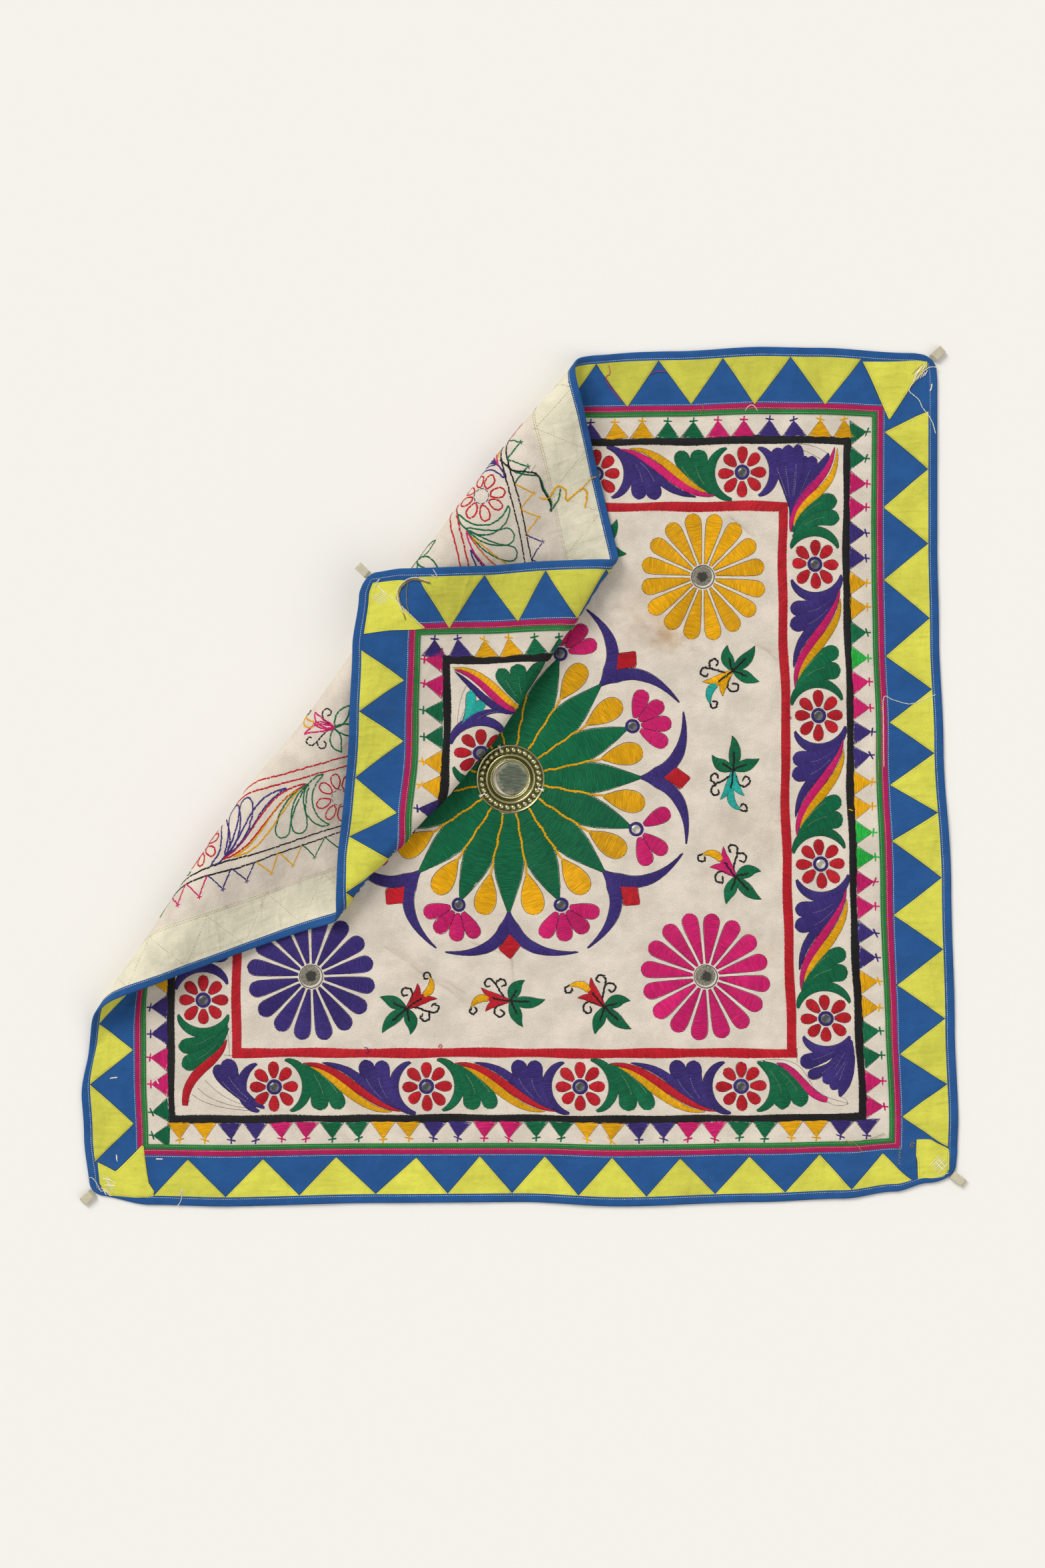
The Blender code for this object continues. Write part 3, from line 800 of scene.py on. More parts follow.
# Section of the binding: share of the way in, and height of its front and back in millimetres.
BINDING_SHARES = (0.0, 0.03, 0.10, 0.22, 0.45, 0.66, 0.745, 0.83, 0.95, 1.0)
BINDING_FRONT = (1.5, 2.35, 3.0, 3.3, 3.35, 3.15, 2.85, 3.2, 3.15, 2.75)
BINDING_BACK = (1.5, 0.8, 0.25, 0.0, 0.0, 0.0, 0.1, 0.0, 0.1, 0.3)
BINDING_SEAM = 0.745


def binding_rails(side):
    """Outer and inner lines of the binding, with its outer corners rounded."""
    first, second = side_strip(side, insets(0.0), insets(BINDING), pitch=4.0 * MM)
    start, end = first[0], first[-1]
    along = (end - start) / np.linalg.norm(end - start)
    inward = second[1] - first[1]
    inward = inward - along * inward.dot(along)
    inward /= np.linalg.norm(inward)
    turn = np.radians(np.linspace(0.0, 45.0, 5))
    head = start + along * CORNER_RADIUS + inward * CORNER_RADIUS
    tail = end - along * CORNER_RADIUS + inward * CORNER_RADIUS
    arc = np.column_stack([np.sin(turn), np.cos(turn)]) * CORNER_RADIUS
    first_arc = head - arc[::-1, :1] * along - arc[::-1, 1:] * inward
    last_arc = tail + arc[:, :1] * along - arc[:, 1:] * inward
    outer = np.vstack([first_arc, last_arc])
    run = lengths_along(outer)
    even = np.linspace(0.0, run[-1], int(run[-1] / BINDING_PITCH))
    outer = points_along(outer, np.unique(np.concatenate([even, run])))
    flow = ((outer - second[0]) @ along).clip(0.0, (second[-1] - second[0]) @ along)
    inner = second[0] + along * flow[:, None]
    inner[0], inner[-1] = second[0], second[-1]
    return outer, inner


def make_binding(side):
    """The binding that is folded over one edge of the cloth."""
    name = f"binding_{side}_tape"
    plan = loft(*binding_rails(side), BINDING_SHARES)
    slab(pile(name), plan, np.array(BINDING_BACK) * MM, np.array(BINDING_FRONT) * MM)
    made = build_piece(name, cloth("blue"), [f"binding_{side}"])


# How far the border band laps under the binding, and the section of the two narrow strips.
UNDERLAP = 1.2 * MM
STRIP_SHARES = (0.0, 0.12, 0.5, 0.88, 1.0)
STRIP_FRONT = (2.55, 3.0, 3.15, 3.0, 2.5)
# How far past the border's inner edge the border and the lining reach, and the heights of the layers.
BORDER_LAP = 0.5 * MM
LINING_LAP = -0.3 * MM
LINING_TOP = 1.2 * MM
BORDER_BACK = 1.5 * MM
PINK_BACK = 2.0 * MM
GREEN_BACK = 1.45 * MM


def make_cloths():
    """All the flat cloth: ground, binding, border, lining and the two narrow strips."""
    make_ground()
    under = insets(BINDING, -UNDERLAP)
    inside = insets(BINDING, BORDER)
    between = insets(inside, PINK_WIDTH)
    border_shares = np.linspace(0.0, 1.0, 11)
    strip_front = np.array(STRIP_FRONT) * MM
    for side in SIDES:
        make_binding(side)
        border = make_band("border", side, under, insets(inside, BORDER_LAP), BORDER_BACK, BORDER_TOP,
                           "blue", border_shares)
        lining = make_band("lining", side, under, insets(inside, LINING_LAP), 0.0, LINING_TOP,
                           "lining", border_shares)
        pink = make_band("pink_strip", side, inside, between, PINK_BACK, strip_front,
                         "pink", STRIP_SHARES)
        green = make_band("green_strip", side, between, insets(inside, 2.0 * STRIP), GREEN_BACK, strip_front,
                          "green", STRIP_SHARES)


# Materials.


def linear(colour):
    """Linear shader colour of an sRGB colour."""
    share = np.asarray(colour) / 255.0
    low, high = share / 12.92, ((share + 0.055) / 1.055) ** 2.4
    return (*np.where(share <= 0.04045, low, high).tolist(), 1.0)


def shaded(colour, share, lift=0.0):
    """A linear colour made darker or brighter."""
    return tuple(min(x * share + lift, 1.0) for x in colour[:3]) + (1.0,)


class Graph:
    """Short way to add and join shader nodes."""

    def __init__(self, name):
        self.material = bpy.data.materials.new(name)
        self.material.use_nodes = True
        self.nodes = self.material.node_tree.nodes
        self.links = self.material.node_tree.links
        self.shader = self.nodes["Principled BSDF"]

    def add(self, kind, settings=None, **inputs):
        node = self.nodes.new(kind)
        for key, value in (settings or {}).items():
            setattr(node, key, value)
        for key, value in inputs.items():
            self.put(node, key.replace("_", " "), value)
        return node

    def put(self, node, key, value):
        socket = node.inputs[int(key)] if key.isdigit() else node.inputs[key]
        if isinstance(value, bpy.types.NodeSocket):
            self.links.new(value, socket)
        else:
            socket.default_value = value

    def math(self, operation, a, b=0.0, c=None):
        node = self.nodes.new("ShaderNodeMath")
        node.operation = operation
        for i, value in enumerate((a, b, c)):
            if value is not None:
                self.put(node, str(i), value)
        return node.outputs[0]

    def mix(self, share, first, second, blend="MIX"):
        node = self.nodes.new("ShaderNodeMix")
        node.data_type = "RGBA"
        node.blend_type = blend
        for key, value in (("0", share), ("6", first), ("7", second)):
            self.put(node, key, value)
        return node.outputs[2]

    def noise(self, vector, scale, detail=2.0, stretch=None, rough=0.5):
        if stretch:
            vector = self.add("ShaderNodeMapping", Vector=vector, Scale=stretch).outputs[0]
        node = self.add("ShaderNodeTexNoise", Vector=vector, Scale=scale, Detail=detail, Roughness=rough)
        return node.outputs[0]

    def ramp(self, value, low, high):
        """Nothing below low, rising smoothly to one at high."""
        node = self.add("ShaderNodeMapRange", {"interpolation_type": "SMOOTHSTEP"}, Value=value)
        node.inputs["From Min"].default_value = low
        node.inputs["From Max"].default_value = high
        return node.outputs[0]

    def fall(self, value, low, high):
        """One below low, falling smoothly to nothing at high."""
        return self.math("SUBTRACT", 1.0, self.ramp(value, low, high))

    def flat_place(self):
        return self.add("ShaderNodeUVMap", {"uv_map": "flat"}).outputs[0]

    def object_place(self):
        return self.add("ShaderNodeTexCoord").outputs["Object"]

    def shade(self):
        return self.add("ShaderNodeAttribute", {"attribute_name": "shade"}).outputs["Fac"]

    def toned(self, colour, tone):
        """A colour multiplied by a grey value."""
        grey = self.add("ShaderNodeCombineXYZ", X=tone, Y=tone, Z=tone).outputs[0]
        return self.mix(1.0, colour, grey, "MULTIPLY")

    def blot(self, flat, spot, reach, strength):
        """A soft uneven stain round a spot of the design."""
        away = self.add("ShaderNodeVectorMath", {"operation": "DISTANCE"}, **{"0": flat, "1": (*spot, 0.0)})
        ragged = self.math("MULTIPLY_ADD", self.noise(flat, 60.0, 4.0), 0.9 * reach, away.outputs["Value"])
        return self.math("MULTIPLY", self.fall(ragged, 0.35 * reach, 1.3 * reach), strength)

    def fold_line(self, flat, start, end, width):
        """A soft ridge between two spots of the design."""
        run = end - start
        turn = math.atan2(run[1], run[0])
        length = float(np.hypot(*run))
        moved = self.add("ShaderNodeMapping", {"vector_type": "TEXTURE"}, Vector=flat,
                         Location=(*start, 0.0), Rotation=(0.0, 0.0, turn)).outputs[0]
        split = self.add("ShaderNodeSeparateXYZ", Vector=moved)
        sway = self.math("MULTIPLY_ADD", self.noise(flat, 18.0, 2.0), 3.0 * width, split.outputs[1])
        aside = self.math("ABSOLUTE", self.math("SUBTRACT", sway, 1.5 * width))
        span = self.math("ABSOLUTE", self.math("SUBTRACT", split.outputs[0], 0.5 * length))
        ends = self.fall(span, 0.3 * length, 0.5 * length)
        return self.math("MULTIPLY", self.fall(aside, 0.0, width), ends)

    def bump(self, height, strength, distance, normal=None):
        node = self.add("ShaderNodeBump", Height=height, Strength=strength, Distance=distance)
        if normal is not None:
            self.links.new(normal, node.inputs["Normal"])
        return node.outputs[0]

    def finish(self, **inputs):
        """Joins the named inputs to the shader and gives the material."""
        for key, value in inputs.items():
            self.put(self.shader, key.replace("_", " "), value)
        return self.material


# Plain weaves: yarn, how much of the flecks, stains, slubs and mottling shows, roughness and creases.
WEAVE_FACTS = ("yarn", "fleck", "stain", "slub", "mottle", "rough", "crease")
WEAVES = {
    "ground": (0.55 * MM, 1.0, 0.5, 0.05, 0.85, 0.92, 0.16),
    "lining": (0.45 * MM, 0.5, 0.4, 0.04, 0.5, 0.9, 0.45),
    "blue": (0.40 * MM, 0.0, 0.1, 0.07, 0.55, 0.85, 0.28),
    "yellow": (0.40 * MM, 0.1, 0.3, 0.04, 0.6, 0.85, 0.5),
    "pink": (0.40 * MM, 0.0, 0.1, 0.10, 0.4, 0.85, 0.1),
    "green": (0.40 * MM, 0.0, 0.1, 0.10, 0.4, 0.85, 0.1),
    "tape": (0.50 * MM, 0.2, 0.5, 0.12, 0.5, 0.9, 0.25),
}
# Grime colour, which is also the painted shade along the ground's creases.
GRIME_AND_CREASE_SHADE = (150, 122, 78)
FLECK = (86, 62, 40)
# Old stains on the ground: pixel of the photograph, reach in pixels and strength.
STAINS = (
    (1003, 955, 40, 0.55), (985, 925, 95, 0.34), (1040, 935, 60, 0.12), (1147, 1436, 42, 0.22),
    (1128, 1400, 30, 0.16), (742, 1400, 50, 0.12), (1165, 1250, 70, 0.10), (610, 1450, 60, 0.10),
    (900, 800, 70, 0.10),
)
STAIN = (176, 136, 84)
# Soft creases of the ground, which are also darkened as painted shade, as the two ends of each in pixels of
# the photograph.
CREASES = (
    ((556, 1400), (712, 1512)), ((630, 1452), (706, 1494)), ((1088, 764), (1136, 806)),
    ((760, 1400), (772, 1500)), ((700, 1408), (762, 1428)), ((1120, 950), (1186, 1000)),
    ((1160, 1225), (1192, 1250)),
)
CREASE_WIDTH = 4.5 * MM
# How far the creases are darkened toward the grime colour, as painted shade.
CREASE_SHADE_STRENGTH = 0.09


def woven(graph, flat, yarn):
    """Height of the crossing yarns, and of their thick places."""
    split = graph.add("ShaderNodeSeparateXYZ", Vector=flat)
    turn = math.tau / (2.0 * yarn)
    sway = graph.math("MULTIPLY", graph.noise(flat, 160.0, 1.0), 5.0)
    turns = [graph.math("MULTIPLY_ADD", split.outputs[axis], turn, sway) for axis in (0, 1)]
    weave = graph.math("ABSOLUTE", graph.math("MULTIPLY", *(graph.math("SINE", at) for at in turns)))
    slubs = [graph.noise(flat, 1.0, 2.0, stretch) for stretch in ((1700.0, 150.0, 1.0), (150.0, 1700.0, 1.0))]
    return weave, graph.math("ADD", *slubs)


def dyed(graph, flat, slubs, base, facts):
    """Colour of the cloth itself, uneven along its yarns, faded in patches and mottled."""
    dark = shaded(base, 1.0 - 2.2 * facts["slub"])
    light = shaded(base, 1.0 + 0.9 * facts["slub"], 0.004)
    colour = graph.mix(graph.ramp(slubs, 0.62, 1.38), dark, light)
    faded = graph.ramp(graph.noise(flat, 14.0, 4.0), 0.38, 0.66)
    colour = graph.mix(faded, colour, graph.mix(0.12 + 0.2 * facts["slub"], colour, light))
    mottle = graph.ramp(graph.noise(flat, 900.0, 3.0, rough=0.7), 0.3, 0.7)
    return graph.mix(facts["mottle"], colour, graph.mix(mottle, shaded(base, 0.80), shaded(base, 1.14)))


def soiled(graph, flat, colour, facts):
    """Grime in wide patches, and small dark flecks of seed husk."""
    grimy = graph.ramp(graph.noise(flat, 5.5, 5.0, rough=0.6), 0.54, 0.78)
    colour = graph.mix(graph.math("MULTIPLY", grimy, facts["stain"] * 0.32), colour, linear(GRIME_AND_CREASE_SHADE))
    if not facts["fleck"]:
        return colour
    specks = graph.add("ShaderNodeTexVoronoi", {"feature": "F1"}, Vector=flat, Scale=230.0, Randomness=1.0)
    near = graph.fall(specks.outputs["Distance"], 0.05, 0.13)
    few = graph.ramp(graph.noise(flat, 120.0, 1.0), 0.56, 0.64)
    shown = graph.math("MULTIPLY", graph.math("MULTIPLY", near, few), facts["fleck"] * 0.7)
    return graph.mix(shown, colour, linear(FLECK))


def worn_ground(graph, flat, colour, creases):
    """Painted shade along the creases of the ground cloth, and its old stains."""
    for crease in creases:
        # Painted shade: the colour darkens along each crease.
        colour = graph.mix(graph.math("MULTIPLY", crease, CREASE_SHADE_STRENGTH), colour, linear(GRIME_AND_CREASE_SHADE))
    for x, y, reach_px, strength in STAINS:
        stain = graph.blot(flat, from_photo(x, y), reach_px * PIXEL, strength)
        colour = graph.mix(stain, colour, linear(STAIN))
    return colour


def cloth_relief(graph, flat, weave, slubs, strength, creases):
    """Fine relief of the weave, soft hollows, small folds and creases."""
    normal = graph.bump(weave, 0.35, 0.16 * MM)
    normal = graph.bump(slubs, 0.2, 0.2 * MM, normal)
    normal = graph.bump(graph.noise(flat, 85.0, 3.0), 0.5, 1.4 * MM, normal)
    normal = graph.bump(graph.noise(flat, 24.0, 3.0, rough=0.55), 0.6, 6.5 * MM, normal)
    for stretch in ((46.0, 15.0, 1.0), (13.0, 52.0, 1.0)):
        fold = graph.math("ABSOLUTE", graph.math("SUBTRACT", graph.noise(flat, 1.0, 2.0, stretch), 0.5))
        normal = graph.bump(graph.fall(fold, 0.0, 0.15), strength, 1.0 * MM, normal)
    for crease in creases:
        normal = graph.bump(crease, 0.7, 1.8 * MM, normal)
    return normal


def cloth(name):
    """Plain-woven cotton: crossing yarns of uneven thickness, faded patches, stains and flecks, and on the
    ground painted shade along its creases.
    """
    if name in materials:
        return materials[name]
    facts = dict(zip(WEAVE_FACTS, WEAVES[name]))
    graph = Graph(f"{name}_cotton")
    flat = graph.flat_place()
    weave, slubs = woven(graph, flat, facts["yarn"])
    colour = soiled(graph, flat, dyed(graph, flat, slubs, linear(CLOTHS[name]), facts), facts)
    creases = []
    if name == "ground":
        creases = [graph.fold_line(flat, *leads(ends), CREASE_WIDTH) for ends in CREASES]
        colour = worn_ground(graph, flat, colour, creases)
    broad = graph.ramp(graph.noise(flat, 30.0, 4.0, rough=0.6), 0.3, 0.7)
    tone = graph.math("MULTIPLY", graph.shade(), graph.math("MULTIPLY_ADD", broad, 0.18, 0.895))
    normal = cloth_relief(graph, flat, weave, slubs, facts["crease"], creases)
    graph.shader.inputs["Sheen Weight"].default_value = 0.04
    graph.shader.inputs["Sheen Roughness"].default_value = 0.6
    graph.shader.inputs["Specular IOR Level"].default_value = 0.12
    colour = graph.toned(colour, tone)
    materials[name] = graph.finish(Base_Color=colour, Roughness=facts["rough"], Normal=normal)
    return materials[name]


# Turns of a thread's strands across and along it, per metre.
TWIST_ACROSS = 7600.0
TWIST_ALONG = 2600.0


def thread(name):
    """Loosely twisted cotton floss with a soft gloss along each strand, and painted shade in the grooves
    between the strands.
    """
    key = f"thread_{name}"
    if key in materials:
        return materials[key]
    graph = Graph(key)
    split = graph.add("ShaderNodeSeparateXYZ", Vector=graph.flat_place())
    lengthwise = graph.math("MULTIPLY", split.outputs[0], TWIST_ALONG)
    twist = graph.math("MULTIPLY_ADD", split.outputs[1], TWIST_ACROSS, lengthwise)
    strand = graph.math("MULTIPLY_ADD", graph.math("SINE", twist), 0.5, 0.5)
    hue = linear(THREADS[name])
    worn = graph.ramp(graph.noise(graph.object_place(), 22.0, 3.0), 0.35, 0.75)
    colour = graph.mix(worn, hue, shaded(hue, 1.18, 0.004))
    # Painted shade: the colour darkens in the grooves between the strands.
    tone = graph.math("MULTIPLY", graph.shade(), graph.math("MULTIPLY_ADD", strand, 0.26, 0.84))
    normal = graph.bump(strand, 0.35, 0.12 * MM)
    graph.shader.inputs["Specular IOR Level"].default_value = 0.14
    materials[key] = graph.finish(Base_Color=graph.toned(colour, tone), Roughness=0.5, Normal=normal)
    return materials[key]


# Old mirrors by kind: clear and clouded colour, and how far the clouding reaches in.
MIRRORS = {
    "small": {"clear": (84, 87, 87), "cloud": (138, 137, 128), "from": 0.86},
    "disc": {"clear": (104, 112, 96), "cloud": (144, 144, 124), "from": 0.86},
    "rosette": {"clear": (72, 70, 65), "cloud": (156, 150, 132), "from": 0.50},
}
RUST = (138, 84, 58)
# Pale glass colour: the painted white reflection of some small mirrors, and the pale edge of the rosette
# mirrors.
PALE_GLASS = (226, 221, 204)
CRACKLE = (92, 88, 76)
BRASS_DARK = (90, 88, 54)
BRASS_BRIGHT = (206, 200, 148)


def rusted(graph, flat, radius, colour):
    """Rust that has crept in from a mirror's rim."""
    patchy = graph.ramp(graph.noise(flat, 2.1, 3.0), 0.52, 0.6)
    rust = graph.math("MULTIPLY", patchy, graph.ramp(radius, 0.78, 0.94))
    return graph.mix(rust, colour, linear(RUST))


def crackled(graph, flat, place_in, radius, cloud, colour):
    """Crackled silvering, and a pale edge toward its lower right."""
    cells = graph.add("ShaderNodeTexVoronoi", {"feature": "F1"}, Vector=place_in, Scale=620.0)
    crackle = graph.math("MULTIPLY", graph.ramp(cells.outputs["Distance"], 0.25, 0.55), cloud)
    colour = graph.mix(graph.math("MULTIPLY", crackle, 0.75), colour, linear(CRACKLE))
    side = graph.add("ShaderNodeSeparateXYZ", Vector=flat)
    lean = graph.math("MULTIPLY_ADD", graph.math("SUBTRACT", side.outputs[0], side.outputs[1]), 0.10, radius)
    return graph.mix(graph.ramp(lean, 0.90, 0.96), colour, linear(PALE_GLASS))


def mirror_glass(kind):
    """Old silvered glass, greyed, clouded and speckled where the silver has gone; some small mirrors get a
    painted white reflection.
    """
    key = f"glass_{kind}"
    if key in materials:
        return materials[key]
    facts = MIRRORS[kind]
    graph = Graph(f"old_mirror_{kind}")
    place_in, flat = graph.object_place(), graph.flat_place()
    radius = graph.add("ShaderNodeVectorMath", {"operation": "LENGTH"}, Vector=flat).outputs["Value"]
    blotch = graph.math("SUBTRACT", graph.noise(place_in, 190.0, 4.0, rough=0.65), 0.5)
    reach = graph.math("MULTIPLY_ADD", blotch, 0.9, radius)
    cloud = graph.ramp(reach, facts["from"] - 0.12, facts["from"] + 0.16)
    streak = graph.ramp(graph.noise(flat, 1.0, 3.0, (2.0, 9.0, 1.0)), 0.35, 0.7)
    clear = graph.mix(streak, linear(facts["clear"]), shaded(linear(facts["clear"]), 1.7))
    colour = graph.mix(cloud, clear, linear(facts["cloud"]))
    if kind == "disc":
        colour = rusted(graph, flat, radius, colour)
    if kind == "rosette":
        colour = crackled(graph, flat, place_in, radius, cloud, colour)
    if kind == "small":
        # Painted reflection: the small mirrors marked for it turn almost white.
        painted_glint = graph.math("MULTIPLY", graph.ramp(graph.shade(), 0.9, 1.0), 0.75)
        colour = graph.mix(painted_glint, colour, linear(PALE_GLASS))
    normal = graph.bump(graph.noise(place_in, 120.0, 2.0), 0.12, 0.3 * MM)
    materials[key] = graph.finish(Base_Color=colour, Metallic=graph.math("MULTIPLY_ADD", cloud, -0.5, 0.7),
                                  Roughness=graph.math("MULTIPLY_ADD", cloud, 0.35, 0.24), Normal=normal)
    return materials[key]


def brass():
    """Thin stamped brass, dark in its hollows and bright where it is rubbed."""
    graph = Graph("stamped_brass")
    place_in = graph.object_place()
    tarnish = graph.noise(place_in, 170.0, 4.0, rough=0.6)
    rubbed = graph.ramp(graph.math("MULTIPLY_ADD", tarnish, 0.5, graph.shade()), 0.45, 1.15)
    colour = graph.mix(rubbed, linear(BRASS_DARK), linear(BRASS_BRIGHT))
    scratch = graph.noise(place_in, 1.0, 2.0, (1500.0, 260.0, 300.0))
    return graph.finish(Base_Color=colour, Metallic=1.0,
                        Roughness=graph.math("MULTIPLY_ADD", rubbed, -0.12, 0.3),
                        Normal=graph.bump(scratch, 0.06, 0.15 * MM))


# Embroidery.

# A flower of the vine in millimetres: where its petals start and end and how unevenly they end,
# their half width, its mirror and the mirror's ring, and its two rings on the back.
FLOWER = {
    "root": 10.2, "reach": 28.3, "uneven": 0.7, "half": 6.0, "mirror": 5.6, "ring": 3.2,
    "outer_back": 9.0, "inner_back": 3.6,
}
FLOWER_PETALS = 8
FLOWER_TURN = 0.02
PETAL_SWAY = 0.03


def flower(centre, painted_glint):
    """Eight red petals round a small mirror."""
    for step in range(FLOWER_PETALS):
        angle = FLOWER_TURN + step * math.tau / FLOWER_PETALS + PETAL_SWAY * rng.standard_normal()
        reach = (FLOWER["reach"] + FLOWER["uneven"] * rng.standard_normal()) * MM
        spine = centre + unit(angle) * np.linspace(FLOWER["root"] * MM, reach, 16)[:, None]
        motif("vine", "red", rails(spine, FLOWER["half"] * MM * petal_width(16, 0.6, 0.3)))
    mirror("vine", centre, FLOWER["mirror"] * MM, FLOWER["ring"] * MM, painted_glint)
    ring = circle(np.linspace(0.0, math.tau, 24))
    back_line("flower_back", "purple", centre + ring * FLOWER["outer_back"] * MM)
    back_line("mirror_back", "white", centre + ring * FLOWER["inner_back"] * MM)


def placed(points, origin, along, outward):
    """Points of a local frame (x outward, y along) in the design."""
    points = np.asarray(points, float)
    return origin + points[:, :1] * outward + points[:, 1:] * along


VINE_COLOURS = {
    "top": ("purple", "pink", "yellow", "green"), "right": ("purple", "pink", "yellow", "green"),
    "bottom": ("purple", "red", "yellow", "green"), "left": ("purple", "red", "yellow", "green"),
}
# Half widths along a leaf as shares of its widest, by kind: where, and how wide there.
LOBE_PLACES = (0.0, 0.17, 0.3, 0.5, 0.68, 0.82, 0.9, 0.96, 1.0)
LEAF_PROFILES = {
    "lobe": (LOBE_PLACES, (0.1, 0.26, 0.36, 0.52, 0.8, 1.0, 0.93, 0.68, 0.08)),
    "broad": (LOBE_PLACES, (0.16, 0.46, 0.66, 0.84, 0.95, 1.0, 0.93, 0.68, 0.08)),
    "ribbon": ((0.0, 0.12, 0.3, 0.55, 0.75, 0.9, 1.0), (0.06, 0.45, 0.82, 1.0, 0.88, 0.5, 0.08)),
    "blunt": ((0.0, 0.12, 0.35, 0.6, 0.85, 1.0), (0.06, 0.5, 0.92, 1.0, 0.8, 0.6)),
    "full": ((0.0, 0.15, 0.3, 0.5, 0.7, 0.84, 0.93, 1.0), (0.15, 0.42, 0.6, 0.8, 0.94, 1.0, 0.8, 0.08)),
    "leaf": ((0.0, 0.12, 0.34, 0.55, 0.8, 1.0), (0.22, 0.68, 1.0, 0.92, 0.46, 0.04)),
    "bell": ((0.0, 0.3, 0.62, 0.82, 1.0), (0.3, 0.9, 1.0, 0.55, 0.05)),
    "petal": ((0.0, 0.3, 0.7, 1.0), (0.7, 1.0, 0.62, 0.1)),
}
# Leaves between two flowers in millimetres, x outward and y along the vine, for flowers 170 mm apart:
# colour by its number, kind, widest half width and the corners that lead the spine.
FIRST_LOBES = (
    ("broad", 8.9, (25.0, -55.0), (10.0, -38.0), (-8.0, -33.0), (-29.9, -36.0)),
    ("broad", 9.1, (25.5, -53.0), (9.0, -30.0), (-8.0, -19.0), (-30.6, -16.5)),
)
SECOND_LOBES = (
    ("broad", 9.9, (25.0, -55.0), (10.0, -38.0), (-8.0, -33.0), (-27.0, -34.5)),
    ("broad", 8.9, (25.5, -52.0), (9.0, -28.0), (-7.0, -16.0), (-26.0, -12.0)),
)
GAP_RIBBONS = (
    (0, "ribbon", 4.8, (24.5, -53.0), (14.0, -22.0), (-21.0, -14.0), (-27.4, 31.5)),
    (1, "ribbon", 4.8, (28.6, -58.5), (24.0, -18.0), (-27.0, 10.0), (-26.3, 53.6)),
    (2, "ribbon", 4.7, (28.8, -46.5), (30.0, -12.0), (-11.0, 14.0), (-22.6, 44.2)),
)
HALF_GAP = 85.0
LEAF_LAYER = 0.12 * MM
VEINED_KINDS = ("lobe", "broad", "full")
VEINED_COLOURS = ("purple", "green")
VEIN_SPAN = (0.28, 0.72)
# A crescent's inner and outer radius in millimetres, and how far it reaches round its flower.
CRESCENT = (32.2, 43.4)
CRESCENT_REACH = (-57.0, 69.0)


def leaf(colour, kind, half, spine, layer):
    """A filled leaf on its own spine, laid over the leaves before it."""
    base = GROUND_TOP + LEAF_LAYER * layer
    form = rails(spine, profile(LEAF_PROFILES[kind], len(spine)) * half * MM)
    fill("vine", colour, form, base=base)
    outline("vine", form, back=colour)
    if kind in VEINED_KINDS and colour in VEINED_COLOURS:
        start, end = (int(share * len(spine)) for share in VEIN_SPAN)
        path = spine if kind == "full" else 0.5 * (form[0] + spine)
        running("vein", "vine_white", path[start:end], base)


def crescent(colour, centre, start_deg, end_deg):
    """A leaf that cups a flower."""
    count = 30
    heading = circle(np.radians(np.linspace(start_deg, end_deg, count)))
    grown = np.sin(np.linspace(0.02, 0.98, count) * np.pi)[:, None] ** 0.6
    inner, outer = (radius * MM for radius in CRESCENT)
    motif("vine", colour, (centre + heading * inner, centre + heading * (inner + (outer - inner) * grown)))


def vine_gap(first, second, colours):
    """The leaves and ribbons between two flowers of the vine band."""
    half_gap = 0.5 * np.linalg.norm(second - first) / MM
    origin = 0.5 * (first + second)
    along = (second - first) / np.linalg.norm(second - first)
    outward = aside_of(along)
    heading = math.degrees(math.atan2(along[1], along[0]))
    stretch = np.array([1.0, half_gap / HALF_GAP])
    groups = ((colours[0], 1.0, first, FIRST_LOBES), (colours[3], -1.0, second, SECOND_LOBES))
    for colour, flip, flower_at, lobes in groups:
        turn = heading if flip > 0.0 else heading + 180.0
        crescent(colour, flower_at, turn + CRESCENT_REACH[0], turn + CRESCENT_REACH[1])
        for layer, (kind, half, *corners) in enumerate(lobes):
            spine = bezier(np.array(corners) * stretch * MM * flip, 30)
            leaf(colour, kind, half, placed(spine, origin, along, outward), layer + 1)
    for number, kind, half, *corners in GAP_RIBBONS:
        spine = bezier(np.array(corners) * stretch * MM, 36)
        leaf(colours[number], kind, half, placed(spine, origin, along, outward), number)


# Flowers of each side, as pixels along it from the disc's centre.
VINE_FLOWERS = {
    "top": (-319.5, -96.5, 126.5, 349.5), "right": (322.0, 94.0, -128.0, -361.0),
    "bottom": (335.0, 99.5, -129.5, -358.0), "left": (-333.0, -99.0, 135.0, 369.4),
}
# The two small mirrors with a painted white reflection: the flower's side and number, and the step round the
# centre.
GLINT_FLOWER = ("right", 2)
GLINT_STEP = 7


def vine_place(side, along):
    """Design point in the middle of the vine band, at pixels along a side."""
    return side_point(side, along * PIXEL, ground_start(side) + 0.5 * sum(VINE_BAND))


